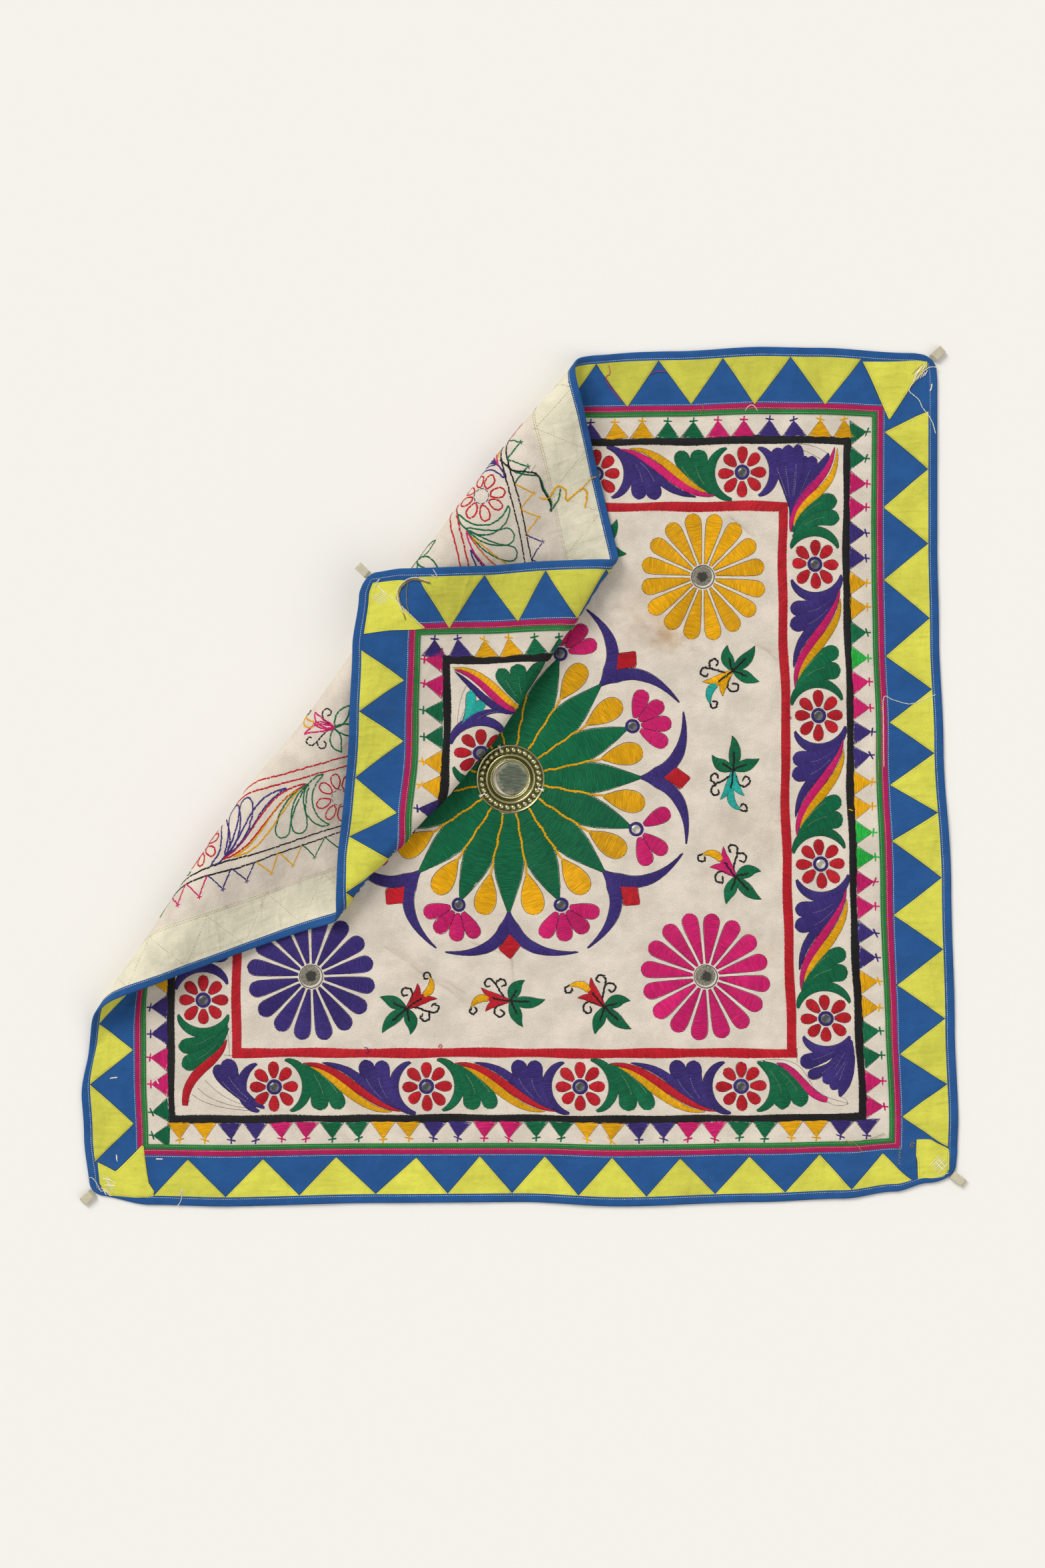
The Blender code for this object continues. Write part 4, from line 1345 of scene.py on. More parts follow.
# Leaves that turn the corners, led by pixels of the photograph.
CORNER_LEAVES = (
    ("purple", "lobe", 15.0, (1188, 768), (1192, 738), (1200, 716), (1206, 684)),
    ("purple", "lobe", 9.6, (1187, 770), (1183, 734), (1168, 706), (1166, 672)),
    ("purple", "lobe", 8.6, (1186, 776), (1189, 738), (1180, 704), (1183, 668)),
    ("purple", "lobe", 6.6, (1186, 774), (1196, 732), (1200, 700), (1196, 667)),
    ("purple", "full", 7.4, (1186, 770), (1205, 730), (1217, 708), (1219, 684)),
    ("purple", "ribbon", 6.6, (1187, 768), (1212, 722), (1236, 706), (1243, 680)),
    ("pink", "ribbon", 5.7, (1252, 671), (1243, 728), (1188, 734), (1186, 798)),
    ("yellow", "ribbon", 4.5, (1256, 673), (1257, 746), (1197, 742), (1191, 789)),
    ("green", "full", 9.6, (1189, 798), (1206, 760), (1230, 750), (1256, 753)),
    ("green", "full", 9.2, (1190, 806), (1210, 778), (1234, 772), (1259, 779)),
    ("purple", "full", 10.0, (1278, 1562), (1264, 1585), (1254, 1602), (1242, 1616)),
    ("purple", "full", 8.6, (1273, 1564), (1243, 1585), (1221, 1588), (1201, 1596)),
    ("purple", "lobe", 6.6, (1274, 1571), (1251, 1596), (1235, 1608), (1212, 1614)),
    ("purple", "lobe", 6.6, (1276, 1574), (1263, 1599), (1251, 1615), (1235, 1622)),
    ("purple", "lobe", 5.6, (1276, 1570), (1266, 1600), (1258, 1618), (1248, 1634)),
    ("purple", "ribbon", 7.4, (1277, 1560), (1276, 1594), (1268, 1621), (1260, 1645)),
    ("pink", "blunt", 4.9, (1165, 1595), (1190, 1596), (1208, 1643), (1241, 1650)),
    ("green", "full", 9.3, (1137, 1593), (1164, 1607), (1177, 1634), (1173, 1664)),
    ("green", "full", 9.8, (1144, 1593), (1180, 1607), (1201, 1631), (1201, 1660)),
    ("green", "full", 8.8, (341, 1537), (314, 1562), (297, 1569), (268, 1570)),
    ("green", "full", 9.6, (342, 1541), (324, 1576), (300, 1590), (273, 1598)),
    ("purple", "lobe", 7.8, (397, 1662), (359, 1652), (335, 1623), (325, 1597)),
    ("purple", "lobe", 9.4, (397, 1661), (364, 1645), (345, 1618), (341, 1588)),
    ("red", "blunt", 5.2, (340, 1559), (330, 1597), (278, 1602), (278, 1658)),
)
# The same on the folded-back tip, in millimetres of the design.
TIP_LEAVES = (
    ("turquoise", "full", 5.6, (-375.6, 315.1), (-366.5, 326.6), (-366.0, 337.3), (-364.6, 354.5)),
    ("turquoise", "full", 6.4, (-375.6, 315.1), (-366.8, 329.5), (-358.8, 339.3), (-349.7, 336.6)),
    ("purple", "lobe", 5.6, (-320.0, 327.0), (-342.0, 336.0), (-358.0, 328.0), (-375.5, 313.0)),
    ("purple", "ribbon", 4.0, (-382.3, 374.3), (-358.0, 356.0), (-346.0, 330.0), (-312.0, 327.5)),
    ("pink", "ribbon", 4.6, (-383.0, 376.2), (-350.0, 372.0), (-338.0, 336.0), (-309.0, 326.0)),
    ("yellow", "ribbon", 3.9, (-384.3, 378.6), (-346.0, 379.0), (-334.0, 343.0), (-304.0, 328.5)),
    ("green", "full", 8.2, (-308.0, 337.0), (-316.0, 349.0), (-325.0, 362.0), (-332.5, 377.5)),
    ("green", "full", 9.4, (-307.0, 336.0), (-309.5, 352.0), (-310.5, 368.0), (-310.6, 381.5)),
    ("green", "ribbon", 7.0, (-306.0, 335.0), (-301.6, 358.6), (-293.9, 375.1), (-277.4, 382.8)),
)
# Lines that were marked and left unfilled, as above.
BARE_LINES = (
    ((1196, 666), (1216, 667), (1232, 672), (1242, 681)),
    ((1196, 673), (1212, 677), (1226, 686), (1238, 693)),
    ((1134, 1592), (1200, 1580), (1205, 1605), (1220, 1631)),
    ((1220, 1631), (1236, 1646), (1252, 1650), (1273, 1655)),
    ((1240, 1652), (1252, 1660), (1264, 1660), (1273, 1656)),
    ((1261, 1645), (1268, 1647), (1272, 1650), (1272, 1657)),
    ((1196, 1572), (1196, 1580), (1196, 1588), (1196, 1594)),
    ((308, 1620), (327, 1642), (350, 1656), (393, 1664)),
    ((297, 1632), (316, 1652), (343, 1659), (390, 1665)),
    ((288, 1641), (307, 1658), (343, 1665), (388, 1666)),
    ((342, 1549), (343, 1563), (345, 1573), (344, 1584)),
    ((336, 1582), (341, 1583), (346, 1583), (351, 1583)),
    ((286, 1649), (285, 1652), (283, 1654), (281, 1655)),
)
TIP_BARE_LINES = (
    ((-379.9, 300.6), (-382.0, 330.0), (-376.0, 350.0), (-369.3, 360.6)),
    ((-379.9, 312.2), (-376.0, 324.0), (-370.0, 338.0), (-368.3, 343.2)),
    ((-380.8, 300.6), (-377.0, 318.0), (-371.0, 332.0), (-366.4, 338.0)),
)
# Crescents at the corners: side, flower, colour and the angles that they span.
CORNER_CRESCENTS = (
    ("top", 3, "purple", -54.0, 56.0), ("right", 0, "green", 34.0, 148.0),
    ("right", 3, "purple", 218.0, 322.0), ("bottom", 0, "green", -59.0, 56.0),
    ("bottom", 3, "purple", 127.0, 238.0), ("left", 0, "green", 210.0, 330.0),
    ("left", 3, "purple", 32.0, 164.0), ("top", 0, "green", 128.0, 236.0),
)
# Corner leaves lie over each other in this many layers.
CORNER_LAYERS = 4


def leads(pixels):
    """Design points of a row of photograph pixels."""
    return np.array([from_photo(*pixel) for pixel in pixels])


def vine_corners():
    """The crescents, leaves and unfilled lines that turn the corners of the vine."""
    for side, number, colour, start_deg, end_deg in CORNER_CRESCENTS:
        crescent(colour, vine_place(side, VINE_FLOWERS[side][number]), start_deg, end_deg)
    for layer, (colour, kind, half, *pixels) in enumerate(CORNER_LEAVES):
        leaf(colour, kind, half, bezier(leads(pixels), 32), layer % CORNER_LAYERS)
    for layer, (colour, kind, half, *corners) in enumerate(TIP_LEAVES):
        leaf(colour, kind, half, bezier(np.array(corners) * MM, 32), layer % CORNER_LAYERS)
    lines = [leads(pixels) for pixels in BARE_LINES]
    lines += [np.array(corners) * MM for corners in TIP_BARE_LINES]
    for corners in lines:
        running("bare", "vine_ink", bezier(corners, 20), GROUND_TOP)


def make_vine():
    """The vine of flowers, leaves and ribbons round all four sides."""
    for side in SIDES:
        flowers = [vine_place(side, along) for along in VINE_FLOWERS[side]]
        for number, centre in enumerate(flowers):
            flower(centre, float((side, number) == GLINT_FLOWER))
        for first, second in zip(flowers, flowers[1:]):
            vine_gap(first, second, VINE_COLOURS[side])
    vine_corners()


# Small triangles by side, from its left or top end: first and last place, and thread colours.
TRIANGLES = {
    "top": (-530.0, 498.5, "PPYYGGKKPPYYGGKKPPYYGGKKPPYY"),
    "right": (517.0, -493.0, "GGKKPPYYGgKKPPYYggKKPPYYGGKK"),
    "bottom": (-500.5, 531.5, "YYPPKKGGYYPPKKGGYYPPKKGGYYPP"),
    "left": (507.0, -537.0, "KKGGYYPPKKGGYYPPKKGGYYPPKKGG"),
}
LETTERS = {"P": "purple", "Y": "yellow", "G": "green", "g": "bright_green", "K": "pink"}
TRIANGLE_PROFILE = ((0.0, 0.55, 1.0), (0.5, 0.235, 0.035))
TRIANGLE_FILL = 0.98
# Insets from where the ground starts: where the triangles' places were measured, and their tips.
TRIANGLE_SEEN = 16.0 * MM
TRIANGLE_TIP = 7.5 * MM
TRIANGLE_GAP = 0.4 * MM
TIP_UNEVEN_IN = 0.5 * MM
TIP_UNEVEN_ALONG = 0.8 * MM
# The cross on a triangle's tip: how far past the tip its middle lies, and the length of its arms.
CROSS_RISE = 1.8 * MM
CROSS_ARM = 4.6 * MM
CROSS_LONG_ARM = 5.0 * MM
SPOKE_ANGLES = (0.0, 1.2, 2.5, 3.8, 5.0)
SPOKE = 3.2 * MM
SPOKE_WIDTH = 1.5 * MM
SPOKE_RISE = 0.5 * MM
CROSS_SKEW = 1.2
CROSS_WIDTH = 1.8 * MM
CROSS_THREAD = 0.9 * MM
CROSS_BASE = GROUND_TOP + 0.1 * MM
TRIANGLE_CROWN = 0.3 * MM
BAND_PITCH = 8.0 * MM
BAND_FILL = {"pitch": 1.3 * MM, "reach": 6.0 * MM, "fray": 0.5 * MM}


def small_triangle(side, along, width, colour):
    """A stitched triangle that points outward from the black band, with a small cross on its tip."""
    start = ground_start(side)
    along = seen_along(side, along, start + TRIANGLE_SEEN)
    base = side_point(side, along, start + BLACK_BAND[0] + TRIANGLE_GAP)
    tip_inset = start + TRIANGLE_TIP + TIP_UNEVEN_IN * rng.standard_normal()
    tip = side_point(side, along + TIP_UNEVEN_ALONG * rng.standard_normal(), tip_inset)
    spine = base + (tip - base) * np.linspace(0.0, 1.0, 14)[:, None]
    form = rails(spine, profile(TRIANGLE_PROFILE, 14) * width)
    fill("edge", colour, form, crown=TRIANGLE_CROWN)
    outline("edge", form, kind="triangle_marking")
    heading = (tip - base) / np.linalg.norm(tip - base)
    cross = tip + heading * CROSS_RISE
    tip_cross(colour, tip, cross, heading)
    for edge in form:
        back_line("triangle_back", colour, edge)
    spokes = np.array([cross + turned(heading[None, :], a)[0] * SPOKE for a in SPOKE_ANGLES])
    middles = np.repeat(cross[None, :], len(spokes), axis=0)
    lay_threads(pile(f"back_{colour}"), middles, spokes, SPOKE_WIDTH, SPOKE_RISE, 0.0, 1.0, BACK)


def tip_cross(colour, tip, cross, heading):
    """The cross on a triangle's tip: two stitches across and two along."""
    aside = aside_of(heading)
    skew = heading * (CROSS_SKEW * rng.standard_normal() * MM)
    root = tip - heading * 1.0 * MM
    starts = np.array([cross - aside * CROSS_LONG_ARM - skew, cross - aside * CROSS_ARM - skew,
                       root, root + aside * 0.9 * MM])
    ends = np.array([cross + aside * CROSS_ARM + skew,
                     cross + aside * CROSS_LONG_ARM + skew + heading * 0.7 * MM,
                     cross + heading * CROSS_ARM, cross + heading * 4.2 * MM - aside * 0.6 * MM])
    heap = pile(f"edge_{colour}")
    lay_threads(heap, starts, ends, CROSS_WIDTH, CROSS_THREAD, CROSS_BASE, thread_shades(4))


def wavering(path, phase):
    """A line as a hand sews it along a side, a little to and fro."""
    along = path[-1] - path[0]
    along /= np.linalg.norm(along)
    at = lengths_along(path) / MM
    sway = (0.55 * np.sin(at / 15.0 + phase) + 0.45 * np.sin(at / 37.0 + 2.0 * phase)) * MM
    return path + aside_of(along) * sway[:, None]


def make_bands():
    """The black and red bands, and the row of small triangles on every side."""
    starts = {side: ground_start(side) for side in SIDES}
    for band, colour in ((BLACK_BAND, "black"), (RED_BAND, "red")):
        outer, inner = (insets(starts, inset) for inset in band)
        for side in SIDES:
            edges = side_strip(side, outer, inner, pitch=BAND_PITCH)
            form = [wavering(path, rng.random() * math.tau) for path in edges]
            fill("bands", colour, form, **BAND_FILL)
            if colour == "red":
                for path in form:
                    running("band_edge", "bands_ink", path, GROUND_TOP)
            for path in form:
                back_line("band_back", colour, path)
    for side in SIDES:
        first, last, letters = TRIANGLES[side]
        places = np.linspace(first, last, len(letters)) * PIXEL
        width = abs(places[1] - places[0]) * TRIANGLE_FILL
        for along, letter in zip(places, letters):
            small_triangle(side, along, width, LETTERS[letter])


def polar(radius_px, angle_deg):
    """Design point at a radius in pixels and an angle round the disc."""
    return unit(math.radians(angle_deg)) * radius_px * PIXEL


def spoke(angle_deg, start_px, end_px, count):
    """Even points outward from the disc's centre."""
    return unit(math.radians(angle_deg)) * np.linspace(start_px, end_px, count)[:, None] * PIXEL


# The centre's forms, in pixels from the disc's centre, with angles in degrees.
RAYS = 16
RAY_STEP = 360.0 / RAYS
RAY_ROOT = 50.0
RAY_TIPS = (197.0, 193.0)
RAY_PLACES = (50.0, 112.0, 124.0, 146.0, 172.0)
RAY_WIDTHS = (10.3, 22.5, 22.7, 18.8, 10.0, 1.0)
DROP_SPAN = (141.0, 203.0)
DROP_HALF = 16.6
CORD_SPAN = (51.0, 143.0)
CENTRE_FLOWERS = 8
CENTRE_STEP = 360.0 / CENTRE_FLOWERS
CENTRE_RADIUS = 200.0
PINK_PETALS = (-51.0, -17.0, 17.0, 51.0)
PINK_SPAN = (13.0, 57.0)
PINK_HALF = 11.6
DIAMOND_SPAN = (229.0, 267.0)
# The pink petal that is missing in the photograph.
MISSING_PETAL = (7, 17.0)
SCALLOP_PROFILE = ((0.0, 0.22, 0.6, 1.0), (1.5, 9.8, 8.0, 0.8))
SCALLOP_LEADS = ((193.0, 22.5), (236.0, 22.0), (268.0, 15.0), (277.0, 1.5))
DIAMOND_PEAKS = (0.42, 0.6)
DIAMOND_WIDTHS = (0.8, 17.5, 0.8)
# The yellow cord's thread and sway, and the small mirrors and their rings, in true size.
CORD = {"width": 2.5 * MM, "rise": 1.0 * MM, "base": GROUND_TOP + 0.6 * MM}
CORD_SWAY = 0.5 * MM
CORD_WAVES = 19.0
CENTRE_MIRROR = 5.3 * MM
CENTRE_RING = 2.9 * MM


def centre_ray(step):
    """A green ray."""
    tip = RAY_TIPS[step % 2]
    radius = np.linspace(RAY_ROOT, tip, 40)
    half = np.interp(radius, (*RAY_PLACES, tip), RAY_WIDTHS) * PIXEL
    form = rails(spoke(step * RAY_STEP, RAY_ROOT, tip, 40), half)
    fill("centre", "green", form, reach=8.5 * MM)
    outline("centre", form, back="green")


def centre_drop(step):
    """A yellow drop between two rays, and the yellow cord that runs in from it."""
    angle = (step + 0.5) * RAY_STEP
    half = DROP_HALF * PIXEL * petal_width(26, 0.68, 0.08)
    motif("centre", "yellow", rails(spoke(angle, *DROP_SPAN, 26), half))
    line = spoke(angle, *CORD_SPAN, 60)
    sway = CORD_SWAY * np.sin(np.linspace(0.0, CORD_WAVES, 60) + step)
    line = line + aside_of(unit(math.radians(angle))) * sway[:, None]
    rope("centre_yellow", line, **CORD)


def centre_flower(step, angle):
    """Four pink petals on a small mirror."""
    centre = polar(CENTRE_RADIUS, angle)
    for turn in PINK_PETALS:
        if (step, turn) == MISSING_PETAL:
            continue
        spine = centre + spoke(angle + turn, *PINK_SPAN, 22)
        motif("centre", "pink", rails(spine, PINK_HALF * PIXEL * petal_width(22, 0.72, 0.26)))
    mirror("centre", centre, CENTRE_MIRROR, CENTRE_RING, float(step == GLINT_STEP))


def centre_scallop(angle):
    """The two halves of a purple scallop over a flower, and the red diamond beside it."""
    for side in (-1.0, 1.0):
        corners = [polar(radius, angle - side * turn) for radius, turn in SCALLOP_LEADS]
        motif("centre", "purple", rails(bezier(corners, 30), profile(SCALLOP_PROFILE, 30) * PIXEL))
    left, right = (profile(((0.0, peak, 1.0), DIAMOND_WIDTHS), 16) * PIXEL for peak in DIAMOND_PEAKS)
    motif("centre", "red", rails(spoke(angle + 0.5 * CENTRE_STEP, *DIAMOND_SPAN, 16), left, right))


def make_centre():
    """Rays, drops, mirror flowers and scallops round the disc."""
    for step in range(RAYS):
        centre_ray(step)
    for step in range(RAYS):
        centre_drop(step)
    for step in range(CENTRE_FLOWERS):
        angle = (step + 0.5) * CENTRE_STEP
        centre_flower(step, angle)
        centre_scallop(angle)


# Colour, centre in millimetres and the turn of the petals in degrees.
ROSETTES = (
    ("yellow", (220.7, 230.5), -1.0), ("pink", (218.1, -227.3), 4.0), ("purple", (-230.9, -227.3), 2.0),
    ("green", (-221.0, 229.0), 0.0),
)
# A rosette: its number of petals, and in millimetres where they start and end, how unevenly, and its ring.
ROSETTE = {"petals": 16, "root": 15.0, "reach": 73.5, "uneven": 0.8, "ring": 13.4}
# Share of a petal's reach, and its half width in millimetres there.
ROSETTE_PETAL = (
    (0.2, 0.25, 0.41, 0.65, 0.8, 0.88, 0.93, 0.97, 1.0), (1.1, 1.9, 4.2, 7.4, 9.1, 9.4, 8.4, 5.8, 0.8),
)


def make_rosettes():
    """The four large rosettes, each with sixteen petals and a ring round its mirror."""
    for colour, centre, turn_deg in ROSETTES:
        centre = np.array(centre) * MM
        for step in range(ROSETTE["petals"]):
            angle = math.radians((step + 0.5) * 360.0 / ROSETTE["petals"] + turn_deg)
            reach = (ROSETTE["reach"] + ROSETTE["uneven"] * rng.standard_normal()) * MM
            radius = np.linspace(ROSETTE["root"] * MM, reach, 34)
            half = np.interp(radius / reach, *ROSETTE_PETAL) * MM
            motif("rosette", colour, rails(centre + unit(angle) * radius[:, None], half))
        ring = centre + circle(np.linspace(0.0, math.tau, 40)) * ROSETTE["ring"] * MM
        running("rosette_ring", "rosette_ink", ring, GROUND_TOP)


# Small sprigs: pixel of the photograph where the leaves meet, heading of the flower, its two colours.
SPRIGS = (
    ((1099, 1006), 225.0, "yellow", "turquoise"), ((1100, 1155), 270.0, "turquoise", "turquoise"),
    ((1104, 1315), 137.0, "pink", "yellow"), ((610, 1513), 43.0, "red", "yellow"),
    ((766, 1501), 180.0, "red", "yellow"), ((907, 1510), 138.0, "red", "yellow"),
    ((898, 822), 235.0, "pink", "yellow"), ((766, 833), 0.0, "red", "yellow"),
    ((616, 833), 315.0, "yellow", "turquoise"), ((407, 1015), 300.0, "pink", "yellow"),
    ((439, 1155), 270.0, "turquoise", "turquoise"), ((435, 1315), 45.0, "red", "yellow"),
)
# Parts of a sprig in photograph pixels, x towards its flower and y to the left: half width and spine.
SPRIG_LEAVES = (
    (9.2, (0, 0), (-20, 3), (-38, 5), (-51, -2)), (9.6, (0, -1), (-7, -17), (-8, -25), (-22, -32)),
    (9.2, (0, 2), (-8, 18), (-8, 28), (-17, 40)),
)
SPRIG_BELL = (
    (5.8, (0, 0), (16, -4), (32, -5), (44, -21)), (5.8, (0, 0), (16, 2), (30, 2), (38, 17)),
    (5.2, (4, 0), (14, -1), (24, -1), (35, -2)),
)
SPRIG_PETAL = (6.0, (33, -3), (46, -7), (56, 1), (59, 11))
SPRIG_VEINS = (
    ((27, -4), (12, -1), (0, 0), (-14, 1), (-27, 1)), ((-10, -16), (-4, -7), (0, 0), (-5, 10), (-8, 20)),
)
SPRIG_SCROLLS = (
    ((8, -3), (16, -16), (21.5, -26.5), (29, -34), (37, -31), (36, -23.5), (30, -22.5)),
    ((21.5, -26.5), (15, -34), (7, -32), (6.5, -24.5), (12.5, -23)),
    ((9, 3), (21, 9), (24.5, 18), (17, 25.5), (9.5, 20), (15, 13.5)),
    ((59, 10), (62, 16.5), (57, 20.5), (51, 15.5), (54.5, 10.5)),
)
SPRIG_LAYER = 0.1 * MM
SPRIG_VEIN = {"width": 2.6 * MM, "rise": 0.9 * MM, "base": GROUND_TOP + 1.05 * MM}
SPRIG_SCROLL = {"width": 3.0 * MM, "rise": 1.1 * MM, "base": GROUND_TOP}


def through(points, count):
    """Smooth curve that passes through points."""
    rows = with_ends(np.asarray(points, float))
    at = np.linspace(0.0, len(points) - 1.0001, count)
    row = at.astype(int)
    return spline(*(rows[row + step] for step in range(4)), (at - row)[:, None])


def make_sprig(origin, angle, bell, petal):
    """Three green leaves and a small flower with black veins and scrolls."""
    heading = unit(angle)

    def laid(points):
        return placed(np.asarray(points, float) * PIXEL, origin, aside_of(heading), heading)

    parts = [("green", "leaf", part) for part in SPRIG_LEAVES] + [(bell, "bell", part) for part in SPRIG_BELL]
    parts.append((petal, "petal", SPRIG_PETAL))
    for layer, (colour, kind, (half, *corners)) in enumerate(parts):
        form = rails(bezier(laid(corners), 22), profile(LEAF_PROFILES[kind], 22) * half * PIXEL)
        fill("sprig", colour, form, base=GROUND_TOP + SPRIG_LAYER * (layer % 3))
        outline("sprig", form, back=colour, kind="sprig_marking")
    for line in SPRIG_VEINS:
        rope("sprig_black", through(laid(line), 30), **SPRIG_VEIN)
    for line in SPRIG_SCROLLS:
        curve = through(laid(line), 40)
        rope("sprig_black", curve, **SPRIG_SCROLL)
        back_line("sprig_back", "black", curve)


def make_sprigs():
    """The small sprigs between the rosettes."""
    for pixel, heading_deg, bell, petal in SPRIGS:
        make_sprig(from_photo(*pixel), math.radians(heading_deg), bell, petal)


# Appliqué.

# Tips of the yellow triangles, as pixels along each side from the disc's centre.
APEXES = {
    "top": (-508.0, -403.0, -314.0, -217.0, -120.0, -23.0, 74.0, 170.5, 266.5, 363.5, 469.5),
    "right": (519.0, 406.0, 296.0, 183.0, 83.0, -9.0, -95.0, -204.0, -310.0, -412.0, -508.0),
    "bottom": (554.5, 461.5, 355.5, 251.5, 149.5, 47.5, -49.5, -145.5, -265.5, -374.5, -486.5),
    "left": (-518.0, -407.0, -307.5, -208.0, -108.5, -9.0, 90.5, 190.0, 267.0, 379.0, 473.0),
}
# Outer feet of the first and last triangle of each side, in the same pixels.
END_FEET = {
    "top": (-560.0, 522.0), "right": (549.0, -556.0), "bottom": (598.0, -538.0), "left": (-575.0, 520.0),
}
# How far a tip stays from the pink strip in millimetres, and how far the first one laps over it.
TIP_GAP = {"top": 0.6, "right": 0.4, "bottom": 2.8, "left": 3.3}
LONG_TIP = 5.5 * MM
TIP_HALF_WIDTH = 0.6 * MM
FOOT_LAP = 0.6 * MM
# How unevenly they are cut and sewn: lean and gap in millimetres, and shade.
TIP_LEAN = 0.8
GAP_UNEVEN = 0.9
SHADE_UNEVEN = 0.03
# How bright the yellow cloth is made on each side, darkest along the top.
YELLOW_SIDE_TONE = {"top": 0.84, "right": 0.97, "bottom": 1.0, "left": 0.98}
PATCH_PITCH = 4.5 * MM
PATCH_RISE = 0.7 * MM
PATCH_EDGE_RISE = 0.25 * MM
PATCH_SINK = 0.4 * MM
PATCH_RIM = 0.9 * MM
# A hem's dark edge line outside the piece's edge (dark thread, and painted shadow of the raised edge), its
# seam inside the edge, and the seam's height.
HEM_OUT = 0.2 * MM
HEM_DEPTH = 1.9 * MM
HEM_SHARE = 0.42
HEM_RISE = 0.75 * MM


def triangle_patch(feet, tips, shade):
    """A sewn-on triangle with turned edges, as its two long edges from foot to tip."""
    longest = max(np.linalg.norm(tip - foot) for foot, tip in zip(feet, tips))
    share = np.linspace(0.0, 1.0, max(int(longest / PATCH_PITCH), 4))[:, None]
    first, second = (foot + (tip - foot) * share for foot, tip in zip(feet, tips))
    sheet_patch(first, second, shade=shade)
    hem(first, second)


def sheet_patch(first, second, rise=0.0, shade=1.0):
    """The cloth of a sewn-on piece between its two long edges."""
    count = len(first)
    width = np.linalg.norm(second - first, axis=1)
    rim = np.clip(PATCH_RIM / np.maximum(width, 1e-5), 0.0, 0.3)[:, None]
    inner = np.linspace(0.0, 1.0, 13)[None, :]
    shares = np.hstack([np.zeros((count, 1)), rim + inner * (1.0 - 2.0 * rim), np.ones((count, 1))])
    plan = loft(first, second, shares)
    front = np.full(plan.shape[:2], BORDER_TOP + PATCH_RISE + rise)
    front[:, [0, -1]] = BORDER_TOP + PATCH_EDGE_RISE + rise
    slab(pile("applique"), plan, BORDER_TOP - PATCH_SINK, front, shade)


def hem(first, second, rise=0.0):
    """Hem lines and stitches just inside both long edges of a sewn-on piece, and on the lining, with a dark
    line just outside each edge that is dark thread and painted shadow.
    """
    width = np.linalg.norm(second - first, axis=1)
    inward = (second - first) / np.maximum(width, 1e-5)[:, None]
    depth = np.minimum(HEM_DEPTH, HEM_SHARE * width)[:, None]
    for path, sign in ((first, 1.0), (second, -1.0)):
        edge, seam = path - inward * sign * HEM_OUT, path + inward * sign * depth
        # Dark thread just outside the edge, which is also painted shadow of the raised piece.
        running("hem_edge", "applique_ink", edge, BORDER_TOP + rise)
        running("hem", "applique_tan", seam, BORDER_TOP + rise + HEM_RISE)
        back_line("hem_back", "tan", seam)


# Yellow pieces that fill the corners, as two edges each in pixels of the photograph.
CORNER_PATCHES = (
    (((1294, 543), (1333, 629)), ((1391, 543), (1391, 551), (1367, 580), (1343, 617), (1335, 629))),
    (((147, 1743), (174, 1757), (213, 1718)),
     ((150, 1775), (160, 1793), (236, 1793), (223, 1773), (216, 1719))),
    (((1375, 1709), (1374, 1736), (1376, 1738), (1377, 1768)),
     ((1397, 1709), (1423, 1722), (1424, 1755), (1416, 1764))),
)
TIP_PATCH = (((-483.0, 478.9), (-483.5, 453.6), (-483.5, 416.6)),
             ((-439.9, 477.6), (-446.8, 464.6), (-447.1, 450.9), (-416.1, 423.2)))
CORNER_RISE = 0.22 * MM


def evenly(path, count):
    """A path's points again, at even distances."""
    return points_along(path, np.linspace(0.0, lengths_along(path)[-1], count))


def corner_patches():
    """The odd yellow pieces that fill the corners of the border."""
    edges = [[leads(edge) for edge in pair] for pair in CORNER_PATCHES]
    edges.append([np.array(edge) * MM for edge in TIP_PATCH])
    for pair in edges:
        first, second = (evenly(edge, 14) for edge in pair)
        sheet_patch(first, second, CORNER_RISE)
        hem(first, second, CORNER_RISE)


def make_applique():
    """The row of yellow triangles on the blue border of every side."""
    for side in SIDES:
        apexes = np.array(APEXES[side])
        start, end = END_FEET[side]
        depth = BINDING + BORDER[side]
        gaps = np.concatenate([[start], 0.5 * (apexes[1:] + apexes[:-1]), [end]]) * PIXEL
        apexes = [seen_along(side, apex, depth) for apex in apexes * PIXEL]
        gaps = [seen_along(side, gap, BINDING) for gap in gaps]
        for i, apex in enumerate(apexes):
            lean = TIP_LEAN * MM * rng.standard_normal()
            tip_inset = depth - (TIP_GAP[side] + GAP_UNEVEN * rng.standard_normal()) * MM
            if side == "top" and i == 0:
                tip_inset = depth + LONG_TIP
            moves = (-TIP_HALF_WIDTH, TIP_HALF_WIDTH)
            tips = [side_point(side, apex + move + lean, tip_inset) for move in moves]
            feet = [side_point(side, gap, BINDING - FOOT_LAP) for gap in gaps[i:i + 2]]
            triangle_patch(feet, tips, YELLOW_SIDE_TONE[side] * (1.0 + SHADE_UNEVEN * rng.standard_normal()))


# Seams along the strips: millimetres in from the border's inner edge, and the height that they lie at.
STRIP_SEAMS = ((-1.1, BORDER_TOP), (PINK_WIDTH / MM - 1.3, 2.9 * MM), (2.0 * STRIP / MM - 1.9, 2.9 * MM))
BACK_SEAMS = (-2.0, -4.5)
BINDING_SEAM_TOP = 2.88 * MM
BINDING_SEAM_BACK = 0.1 * MM


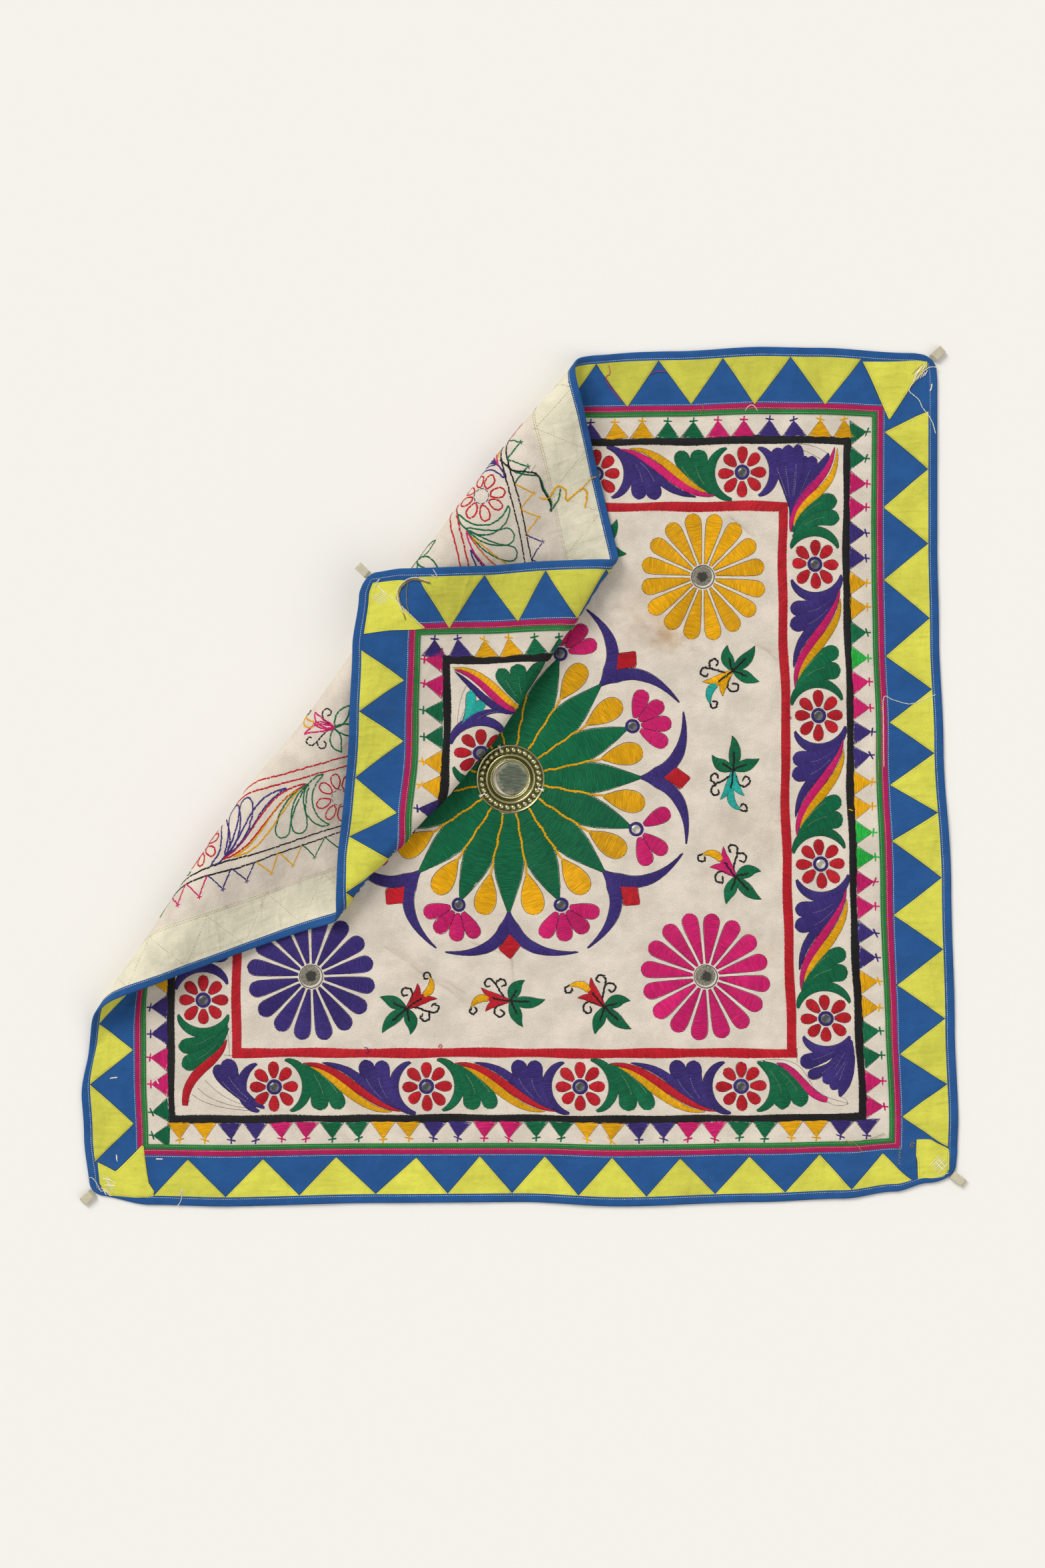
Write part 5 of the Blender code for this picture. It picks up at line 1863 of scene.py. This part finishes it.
def make_machine_stitches():
    """The seams of the binding and of the strips, on both faces."""
    inside = insets(BINDING, BORDER)
    for side in SIDES:
        outer, inner = binding_rails(side)
        path = outer + (inner - outer) * BINDING_SEAM
        running("binding_seam", "machine_white", path, BINDING_SEAM_TOP)
        running("binding_seam", "machine_white", path, BINDING_SEAM_BACK, BACK)
        for inset, base in STRIP_SEAMS:
            running("strip_seam", "machine_white", seam_line(side, inside, inset), base)
        for inset in BACK_SEAMS:
            back_line("strip_back", "tan", seam_line(side, inside, inset))


def seam_line(side, inside, inset):
    """A mitred line along a side, at millimetres in from an inset."""
    return side_strip(side, insets(inside, inset * MM), insets(inside, (inset + 1.0) * MM))[0]


# Loose threads on the front: colour, width and height in millimetres, and pixels of the photograph.
LOOSE_THREADS = (
    ("white", 1.0, 4.1, (1407, 552), (1398, 551), (1390, 554), (1376, 567), (1365, 581), (1365, 589),
     (1378, 600), (1383, 611), (1390, 620), (1398, 633), (1403, 650)),
    ("white", 1.5, 4.0, (1395, 587), (1397, 583), (1398, 577)),
    ("tan", 1.0, 3.4, (1372, 1715), (1368, 1714), (1366, 1718), (1369, 1718), (1368, 1721)),
    ("white", 1.6, 3.1, (166, 1617), (176, 1616)), ("white", 1.6, 3.1, (175, 1732), (176, 1741)),
    ("white", 1.6, 3.1, (235, 1738), (244, 1738)), ("white", 1.4, 2.6, (235, 1619), (238, 1625)),
    ("white", 0.9, 3.9, (135, 1766), (140, 1767), (147, 1777), (152, 1786), (158, 1785), (163, 1791),
     (167, 1793)),
    ("white", 0.9, 3.9, (267, 1808), (272, 1800), (274, 1783), (270, 1793)),
    ("tan", 0.8, 3.4, (1259, 1711), (1265, 1715), (1270, 1711), (1276, 1716)),
    ("tan", 0.8, 3.4, (1276, 1712), (1282, 1714), (1288, 1720), (1294, 1728)),
    ("tan", 0.8, 3.4, (1294, 1710), (1311, 1706), (1327, 1700)),
    ("tan", 0.8, 3.4, (1317, 1102), (1316, 1125), (1318, 1150), (1316, 1174)),
    ("white", 0.8, 3.6, (1403, 1042), (1385, 1050), (1364, 1056), (1340, 1050), (1326, 1046), (1325, 1080),
     (1326, 1150)),
    ("purple", 0.9, 2.6, (547, 1571), (551, 1572), (553, 1577), (549, 1580)),
    ("red", 0.9, 2.6, (658, 1571), (660, 1567), (663, 1568), (661, 1572)),
    ("red", 0.9, 2.6, (1180, 1075), (1183, 1078), (1187, 1077), (1184, 1073)),
    ("yellow", 1.6, 2.6, (1274, 1214), (1279, 1216)),
    ("pink", 0.8, 4.0, (912, 548), (914, 560), (908, 566), (912, 577), (932, 602)),
    ("pink", 0.8, 4.0, (975, 561), (985, 558), (998, 558)),
    ("white", 0.8, 3.5, (1118, 616), (1124, 609), (1131, 609), (1136, 616)),
    ("tan", 0.9, 3.5, (1053, 607), (1055, 613), (1052, 620)),
)
# Darning in the corners: colour, height, and the two ends of each stitch in pixels of the photograph.
DARNS = (
    ("white", 3.95, ((1376, 570), (1380, 563)), ((1380, 568), (1384, 560)), ((1384, 566), (1387, 559)),
     ((1387, 564), (1391, 556)), ((1371, 566), (1376, 556)), ((1375, 562), (1380, 553)),
     ((1370, 572), (1382, 549)), ((1378, 559), (1386, 547)), ((1383, 557), (1388, 549))),
    ("tan", 3.95, ((1372, 569), (1386, 548)), ((1374, 572), (1389, 551)), ((1368, 562), (1384, 547))),
    ("white", 4.15, ((1395, 1747), (1408, 1733)), ((1400, 1751), (1414, 1736)), ((1403, 1756), (1420, 1741)),
     ((1407, 1760), (1423, 1744)), ((1398, 1749), (1411, 1735)), ((1401, 1765), (1423, 1759)),
     ((1401, 1754), (1417, 1739)), ((1404, 1743), (1415, 1754)), ((1408, 1739), (1418, 1750))),
    ("white", 4.15, ((154, 1762), (165, 1777)), ((165, 1767), (162, 1790)), ((157, 1777), (173, 1778)),
     ((158, 1768), (172, 1782)), ((155, 1767), (168, 1770)), ((163, 1773), (170, 1788)),
     ((160, 1765), (174, 1775)), ((152, 1781), (166, 1789)), ((156, 1785), (160, 1792))),
    ("tan", 3.1, ((1348, 1719), (1351, 1721)), ((1347, 1723), (1351, 1725)), ((1348, 1727), (1351, 1729)),
     ((1347, 1731), (1350, 1733)), ((1348, 1735), (1351, 1737)), ((1347, 1739), (1350, 1741)),
     ((1348, 1743), (1350, 1746))),
)
# Threads on the turned-over tip, in millimetres of the design: colour, width, height, points.
TIP_THREADS = (
    ("tan", 1.3, 4.2, (-413.3, 474.9), (-432.1, 479.5), (-440.9, 476.8), (-447.5, 465.8), (-445.7, 451.7),
     (-438.7, 432.7)),
    ("white", 1.1, 4.4, (-414.0, 476.0), (-431.0, 480.8), (-442.0, 477.5), (-449.0, 466.0), (-447.4, 452.0),
     (-441.0, 440.0)),
    ("tan", 1.1, 4.3, (-412.0, 473.6), (-433.0, 478.2), (-444.3, 470.0), (-449.8, 458.0), (-444.0, 446.0),
     (-439.5, 434.0)),
    ("white", 0.9, 4.1, (-475.5, 475.0), (-462.0, 463.0), (-447.3, 450.7), (-432.0, 437.0), (-417.5, 424.4)),
    ("tan", 0.9, 4.0, (-438.0, 474.0), (-438.6, 462.0), (-438.0, 450.0), (-436.0, 442.0)),
    ("white", 0.9, 4.1, (-411.0, 490.0), (-405.8, 481.6), (-412.0, 483.0)),
    ("white", 1.0, 4.1, (-480.0, 478.0), (-476.0, 482.0), (-478.5, 473.0)),
)
# A row of stitches there: both ends of the first, how many, and the step to the next.
TIP_DARN = ((-479.0, 461.6), (-466.0, 467.0), 7, (1.1, -1.9))
# Yarn tails on the back, as above.
BACK_TAILS = (
    ("yellow", 2.4, (-93.4, 416.0), (-95.8, 426.8), (-86.2, 438.8), (-92.2, 448.4), (-104.2, 447.2),
     (-100.6, 458.0), (-97.0, 468.8), (-103.0, 473.6), (-118.6, 467.6)),
    ("yellow", 1.2, (-97.0, 468.8), (-90.0, 480.0), (-88.6, 488.0)),
    ("black", 2.2, (-40.0, 382.0), (-56.2, 394.4), (-60.0, 406.0), (-67.0, 419.6), (-85.0, 422.0),
     (-99.4, 426.8), (-111.4, 426.8)),
    ("green", 2.0, (-58.0, 395.0), (-64.0, 408.0), (-70.0, 421.0), (-87.0, 424.0), (-101.0, 429.0),
     (-110.2, 425.6), (-100.6, 437.6), (-89.8, 442.4)),
    ("white", 1.0, (-62.2, 411.2), (-58.0, 416.0), (-55.0, 419.6)),
)


LOOSE_PITCH = 1.2 * MM
LOOSE_RISE = 0.6 * MM
TAIL_RISE = 0.9 * MM
TAIL_BASE = -0.2 * MM
DARN_WIDTH = 0.9 * MM
DARN_RISE = 0.4 * MM
TIP_DARN_WIDTH = 0.6 * MM
TIP_DARN_RISE = 0.3 * MM
TIP_DARN_HEIGHT = 4.1 * MM


def loose_threads():
    """Ends of thread, darning and yarn tails that lie on the cloth."""
    for colour, width, height, *pixels in LOOSE_THREADS:
        loose_end(colour, width, height, leads(pixels))
    for colour, height, *stitches in DARNS:
        ends = np.array([leads(stitch) for stitch in stitches])
        lay_threads(pile(f"loose_{colour}"), ends[:, 0], ends[:, 1], DARN_WIDTH, DARN_RISE, height * MM,
                    thread_shades(len(ends)))
    for colour, width, height, *corners in TIP_THREADS:
        loose_end(colour, width, height, np.array(corners) * MM)
    start, end, count, step = TIP_DARN
    rows = np.arange(count)[:, None] * np.array(step)
    lay_threads(pile("loose_white"), (np.array(start) + rows) * MM, (np.array(end) + rows) * MM,
                TIP_DARN_WIDTH, TIP_DARN_RISE, TIP_DARN_HEIGHT, thread_shades(count))
    for colour, width, *corners in BACK_TAILS:
        curve = through(np.array(corners) * MM, 60)
        rope(f"loose_{colour}", curve, width=width * MM, rise=TAIL_RISE, base=TAIL_BASE, face=BACK)


def loose_end(colour, width, height, points):
    """One thread that lies loose on the front."""
    rope(f"loose_{colour}", through(points, 40), width=width * MM, rise=LOOSE_RISE, base=height * MM,
         pitch=LOOSE_PITCH)


# Disc, loops and setting.

# Profile of the stamped disc from its collar outward: radius and height in millimetres.
DISC_PROFILE = {
    "radius": (19.4, 19.5, 19.9, 20.5, 21.0, 21.5, 22.0, 22.6, 23.2, 23.8, 24.4, 25.0, 25.6,
               26.2, 26.8, 27.4, 28.0, 28.6, 29.2, 29.8, 30.4, 31.0, 31.6, 32.2, 32.8, 33.4,
               34.0, 34.6, 35.2, 35.8, 36.4, 37.0, 37.6, 38.2, 38.7, 39.1, 39.4, 39.3),
    "height": (0.8, 2.6, 3.1, 3.0, 2.2, 1.9, 2.2, 2.2, 1.9, 1.5, 1.4, 1.6, 2.1, 2.9, 3.5, 3.6, 3.2,
               2.5, 1.8, 1.4, 1.3, 1.3, 1.3, 1.3, 1.3, 1.3, 1.3, 1.3, 1.3, 1.3, 1.5, 2.0, 2.5, 2.7,
               2.6, 2.2, 1.4, 0.4),
}
# Beads round the disc in millimetres: how many, the ring that they stand on, radius and height.
BOLD_BEADS = (30, 33.2, 3.0, 1.8)
FINE_BEADS = (78, 22.2, 0.85, 0.5)
# Height of the disc's hollows, and how much higher its brightest places are.
HOLLOW = 1.3
RUBBED_RISE = 1.9
TACKS_DEG = (109.0, -19.0, 210.0)
TACK_BASE = 2.6 * MM
TACK_LEANS = (-1.3, -0.4, 0.5, 1.2)
TACK_HALF_WIDTH = 0.5 * MM
TACK_RIDGE = 0.7 * MM
# Start and end of a tack in millimetres: radius, and sideways shift as a share of its lean.
TACK_START = (33.5, -0.7)
TACK_END = (41.0, 1.3)
# Where along a tack, and its height over the disc's rim there.
TACK_HEIGHTS = ((0.0, 0.6 * MM), (0.78, 0.7 * MM), (1.0, -2.2 * MM))


def beads_on(radius, angles, count, ring, size, height):
    """Height of domes set round a ring."""
    nearest = np.round(angles * count / math.tau) * math.tau / count
    across = (angles - nearest)[:, None] * radius[None, :]
    distance = np.hypot(across, (radius - ring)[None, :]) / size
    return height * np.sqrt(np.clip(1.0 - distance ** 2, 0.0, 1.0))


def make_disc():
    """The stamped disc: a lathe grid with a ring of bold beads, a raised ring and a ring of fine beads."""
    centre = place(np.array([[0.0, 0.0, 0.0]]))[0]
    low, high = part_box("disc_ring")
    angles = np.linspace(0.0, math.tau, 4 * FINE_BEADS[0] + 1)
    radius, height = (np.array(DISC_PROFILE[key]) for key in ("radius", "height"))
    z = height[None, :] + beads_on(radius, angles, *BOLD_BEADS) + beads_on(radius, angles, *FINE_BEADS)
    x = np.cos(angles)[:, None] * radius[None, :]
    y = np.sin(angles)[:, None] * radius[None, :]
    points = np.stack([x, y, z], axis=2).reshape(-1, 3) * MM + np.array([*centre[:2], low.z])
    shade = np.clip((z - HOLLOW) / RUBBED_RISE, 0.0, 1.0).ravel()
    flat = (np.stack([x, y], axis=2) * MM).reshape(-1, 2)
    pile("disc").add(points, grid_quads(*z.shape)[:, ::-1], shade, flat)
    build_piece("disc", brass(), ["disc_ring"], world=True)
    for angle_deg in TACKS_DEG:
        tack_disc(centre[:2], low.z + TACK_BASE, math.radians(angle_deg))


def tack_disc(centre, base, angle):
    """White stitches over the disc's rim that hold it to the cloth."""
    heading = unit(angle)
    aside = aside_of(heading)
    for lean in TACK_LEANS:
        start, end = (centre + heading * out * MM + aside * lean * shift * MM
                      for out, shift in (TACK_START, TACK_END))
        stations = [(start + (end - start) * share, base + high) for share, high in TACK_HEIGHTS]
        for pair in zip(stations, stations[1:]):
            ridge = np.array([
                np.append(spot + aside * side * TACK_HALF_WIDTH, rise + (side == 0.0) * TACK_RIDGE)
                for spot, rise in pair for side in (-1.0, 0.0, 1.0)
            ])
            pile("disc_tacks").add(ridge, np.array([[0, 3, 4, 1], [1, 4, 5, 2]]), np.ones(6), ridge[:, :2])


# A plain mirror's bevel: share of its radius at which it starts, and how far it drops.
BEVEL_START = 0.9
BEVEL_DROP = 0.25 * MM


def plain_glass(name, radius, kind):
    """A round mirror with a small bevel, in the place of the frame's plain one."""
    low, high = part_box(name)
    middle = 0.5 * (low + high)
    levels = ((0.0, high.z), (BEVEL_START, high.z), (1.0, high.z - BEVEL_DROP), (1.0, low.z))
    shares, heights = np.array(levels).T
    plan = circle(np.linspace(0.0, math.tau, 49))[:, None, :] * shares[:, None]
    spots = np.array(middle[:2]) + plan * radius
    points = np.concatenate([spots, np.broadcast_to(heights, plan.shape[:2])[..., None]], axis=2)
    quads = grid_quads(*plan.shape[:2])[:, ::-1]
    pile(f"{name}_glass").add(points.reshape(-1, 3), quads, np.full(plan.size // 2, 0.5), plan.reshape(-1, 2))
    build_piece(f"{name}_glass", mirror_glass(kind), [name], world=True)


DISC_GLASS = 19.2 * MM
ROSETTE_GLASS = 12.5 * MM
LOOP_SWAY = 0.22 * MM
LOOPS = ("loop_top_right", "loop_bottom_right", "loop_bottom_left", "loop_top_left")


def soften(mesh, number):
    """Splits a mesh finely and sways its surface a little."""
    shape = bmesh.new()
    shape.from_mesh(mesh)
    bmesh.ops.subdivide_edges(shape, edges=shape.edges[:], cuts=2, use_grid_fill=True)
    shape.normal_update()
    for vert in shape.verts:
        x, y, z = vert.co / MM
        sway = math.sin(0.9 * x + number) * math.sin(0.8 * y - number) + 0.5 * math.sin(2.1 * x + 1.7 * y + z)
        vert.co += vert.normal * LOOP_SWAY * sway
    shape.to_mesh(mesh)
    shape.free()


def map_flat(mesh):
    """An even shade, and a flat map from the plan."""
    spots = np.array([vert.co[:] for vert in mesh.vertices])
    shade = mesh.attributes.new("shade", "FLOAT", "POINT")
    shade.data.foreach_set("value", np.full(len(spots), 1.0, np.float32))
    corners = np.array([loop.vertex_index for loop in mesh.loops])
    for old in list(mesh.uv_layers):
        mesh.uv_layers.remove(old)
    layer = mesh.uv_layers.new(name="flat")
    layer.data.foreach_set("uv", spots[corners, :2].astype(np.float32).ravel())
    mesh.polygons.foreach_set("use_smooth", np.ones(len(mesh.polygons), bool))


def make_loops():
    """Finer loops of tape over the plain ones of the frame: slack, with soft edges."""
    for number, name in enumerate(LOOPS):
        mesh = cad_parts[name].data.copy()
        soften(mesh, number)
        map_flat(mesh)
        mesh.materials.clear()
        mesh.materials.append(cloth("tape"))
        made = bpy.data.objects.new(f"{name}_tape", mesh)
        bpy.context.scene.collection.objects.link(made)
        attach(made, "root")
        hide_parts(name)


def make_piles():
    """Every remaining pile of stitches becomes a piece in its own thread."""
    for name in sorted(piles):
        if name == "small_mirrors":
            build_piece(name, mirror_glass("small"))
        elif name == "applique":
            build_piece(name, cloth("yellow"))
        else:
            colour = name.split("_", 1)[1]
            build_piece(f"stitches_{name}", thread(colour), heap=name)


FLOOR_SIZE = 120.0
FLOOR_HEIGHT = -0.5 * MM
FLOOR_COLOUR = (246, 243, 237)
SKY_COLOUR = (1.0, 0.99, 0.97, 1.0)
SKY_STRENGTH = 0.42
# Soft lights: name, where from, power and spread in degrees.
LAMPS = (("key", (-1.5, 1.8, 2.3), 1.95, 32.0), ("fill", (1.9, -1.2, 2.4), 0.62, 60.0))
CAMERA_PLACE = (-0.0006, -0.0090, 4.24)
CAMERA_LENS = 85.0


def make_setting():
    """Pale floor, soft studio light and the camera straight above."""
    bpy.ops.mesh.primitive_plane_add(size=FLOOR_SIZE, location=(0.0, 0.0, FLOOR_HEIGHT))
    floor = bpy.context.object
    floor.name = "floor"
    graph = Graph("floor_paper")
    grain = graph.noise(graph.object_place(), 300.0)
    floor.data.materials.append(graph.finish(Base_Color=linear(FLOOR_COLOUR), Roughness=0.95,
                                             Normal=graph.bump(grain, 0.05, 0.2 * MM)))
    world = bpy.data.worlds.new("studio")
    bpy.context.scene.world = world
    world.use_nodes = True
    sky = world.node_tree.nodes["Background"].inputs
    sky["Color"].default_value = SKY_COLOUR
    sky["Strength"].default_value = SKY_STRENGTH
    for name, spot, power, spread in LAMPS:
        data = bpy.data.lights.new(name, "SUN")
        data.energy = power
        data.angle = math.radians(spread)
        lamp = bpy.data.objects.new(name, data)
        lamp.location = spot
        lamp.rotation_mode = "QUATERNION"
        lamp.rotation_quaternion = (-Vector(spot)).to_track_quat("-Z", "Y")
        bpy.context.scene.collection.objects.link(lamp)
    data = bpy.data.cameras.new("camera")
    data.lens = CAMERA_LENS
    data.sensor_width = 36.0
    data.clip_end = FLOOR_SIZE
    camera = bpy.data.objects.new("camera", data)
    camera.location = CAMERA_PLACE
    bpy.context.scene.collection.objects.link(camera)
    bpy.context.scene.camera = camera
    bpy.context.scene.view_settings.view_transform = "Standard"


make_cloths()
make_bands()
make_vine()
make_rosettes()
make_centre()
make_sprigs()
make_applique()
corner_patches()
make_machine_stitches()
loose_threads()
make_disc()
plain_glass("disc_mirror", DISC_GLASS, "disc")
for rosette in ("top_right", "bottom_right", "bottom_left"):
    plain_glass(f"rosette_mirror_{rosette}", ROSETTE_GLASS, "rosette")
build_piece("disc_tacks", thread("white"), world=True)
make_loops()
make_piles()
make_setting()
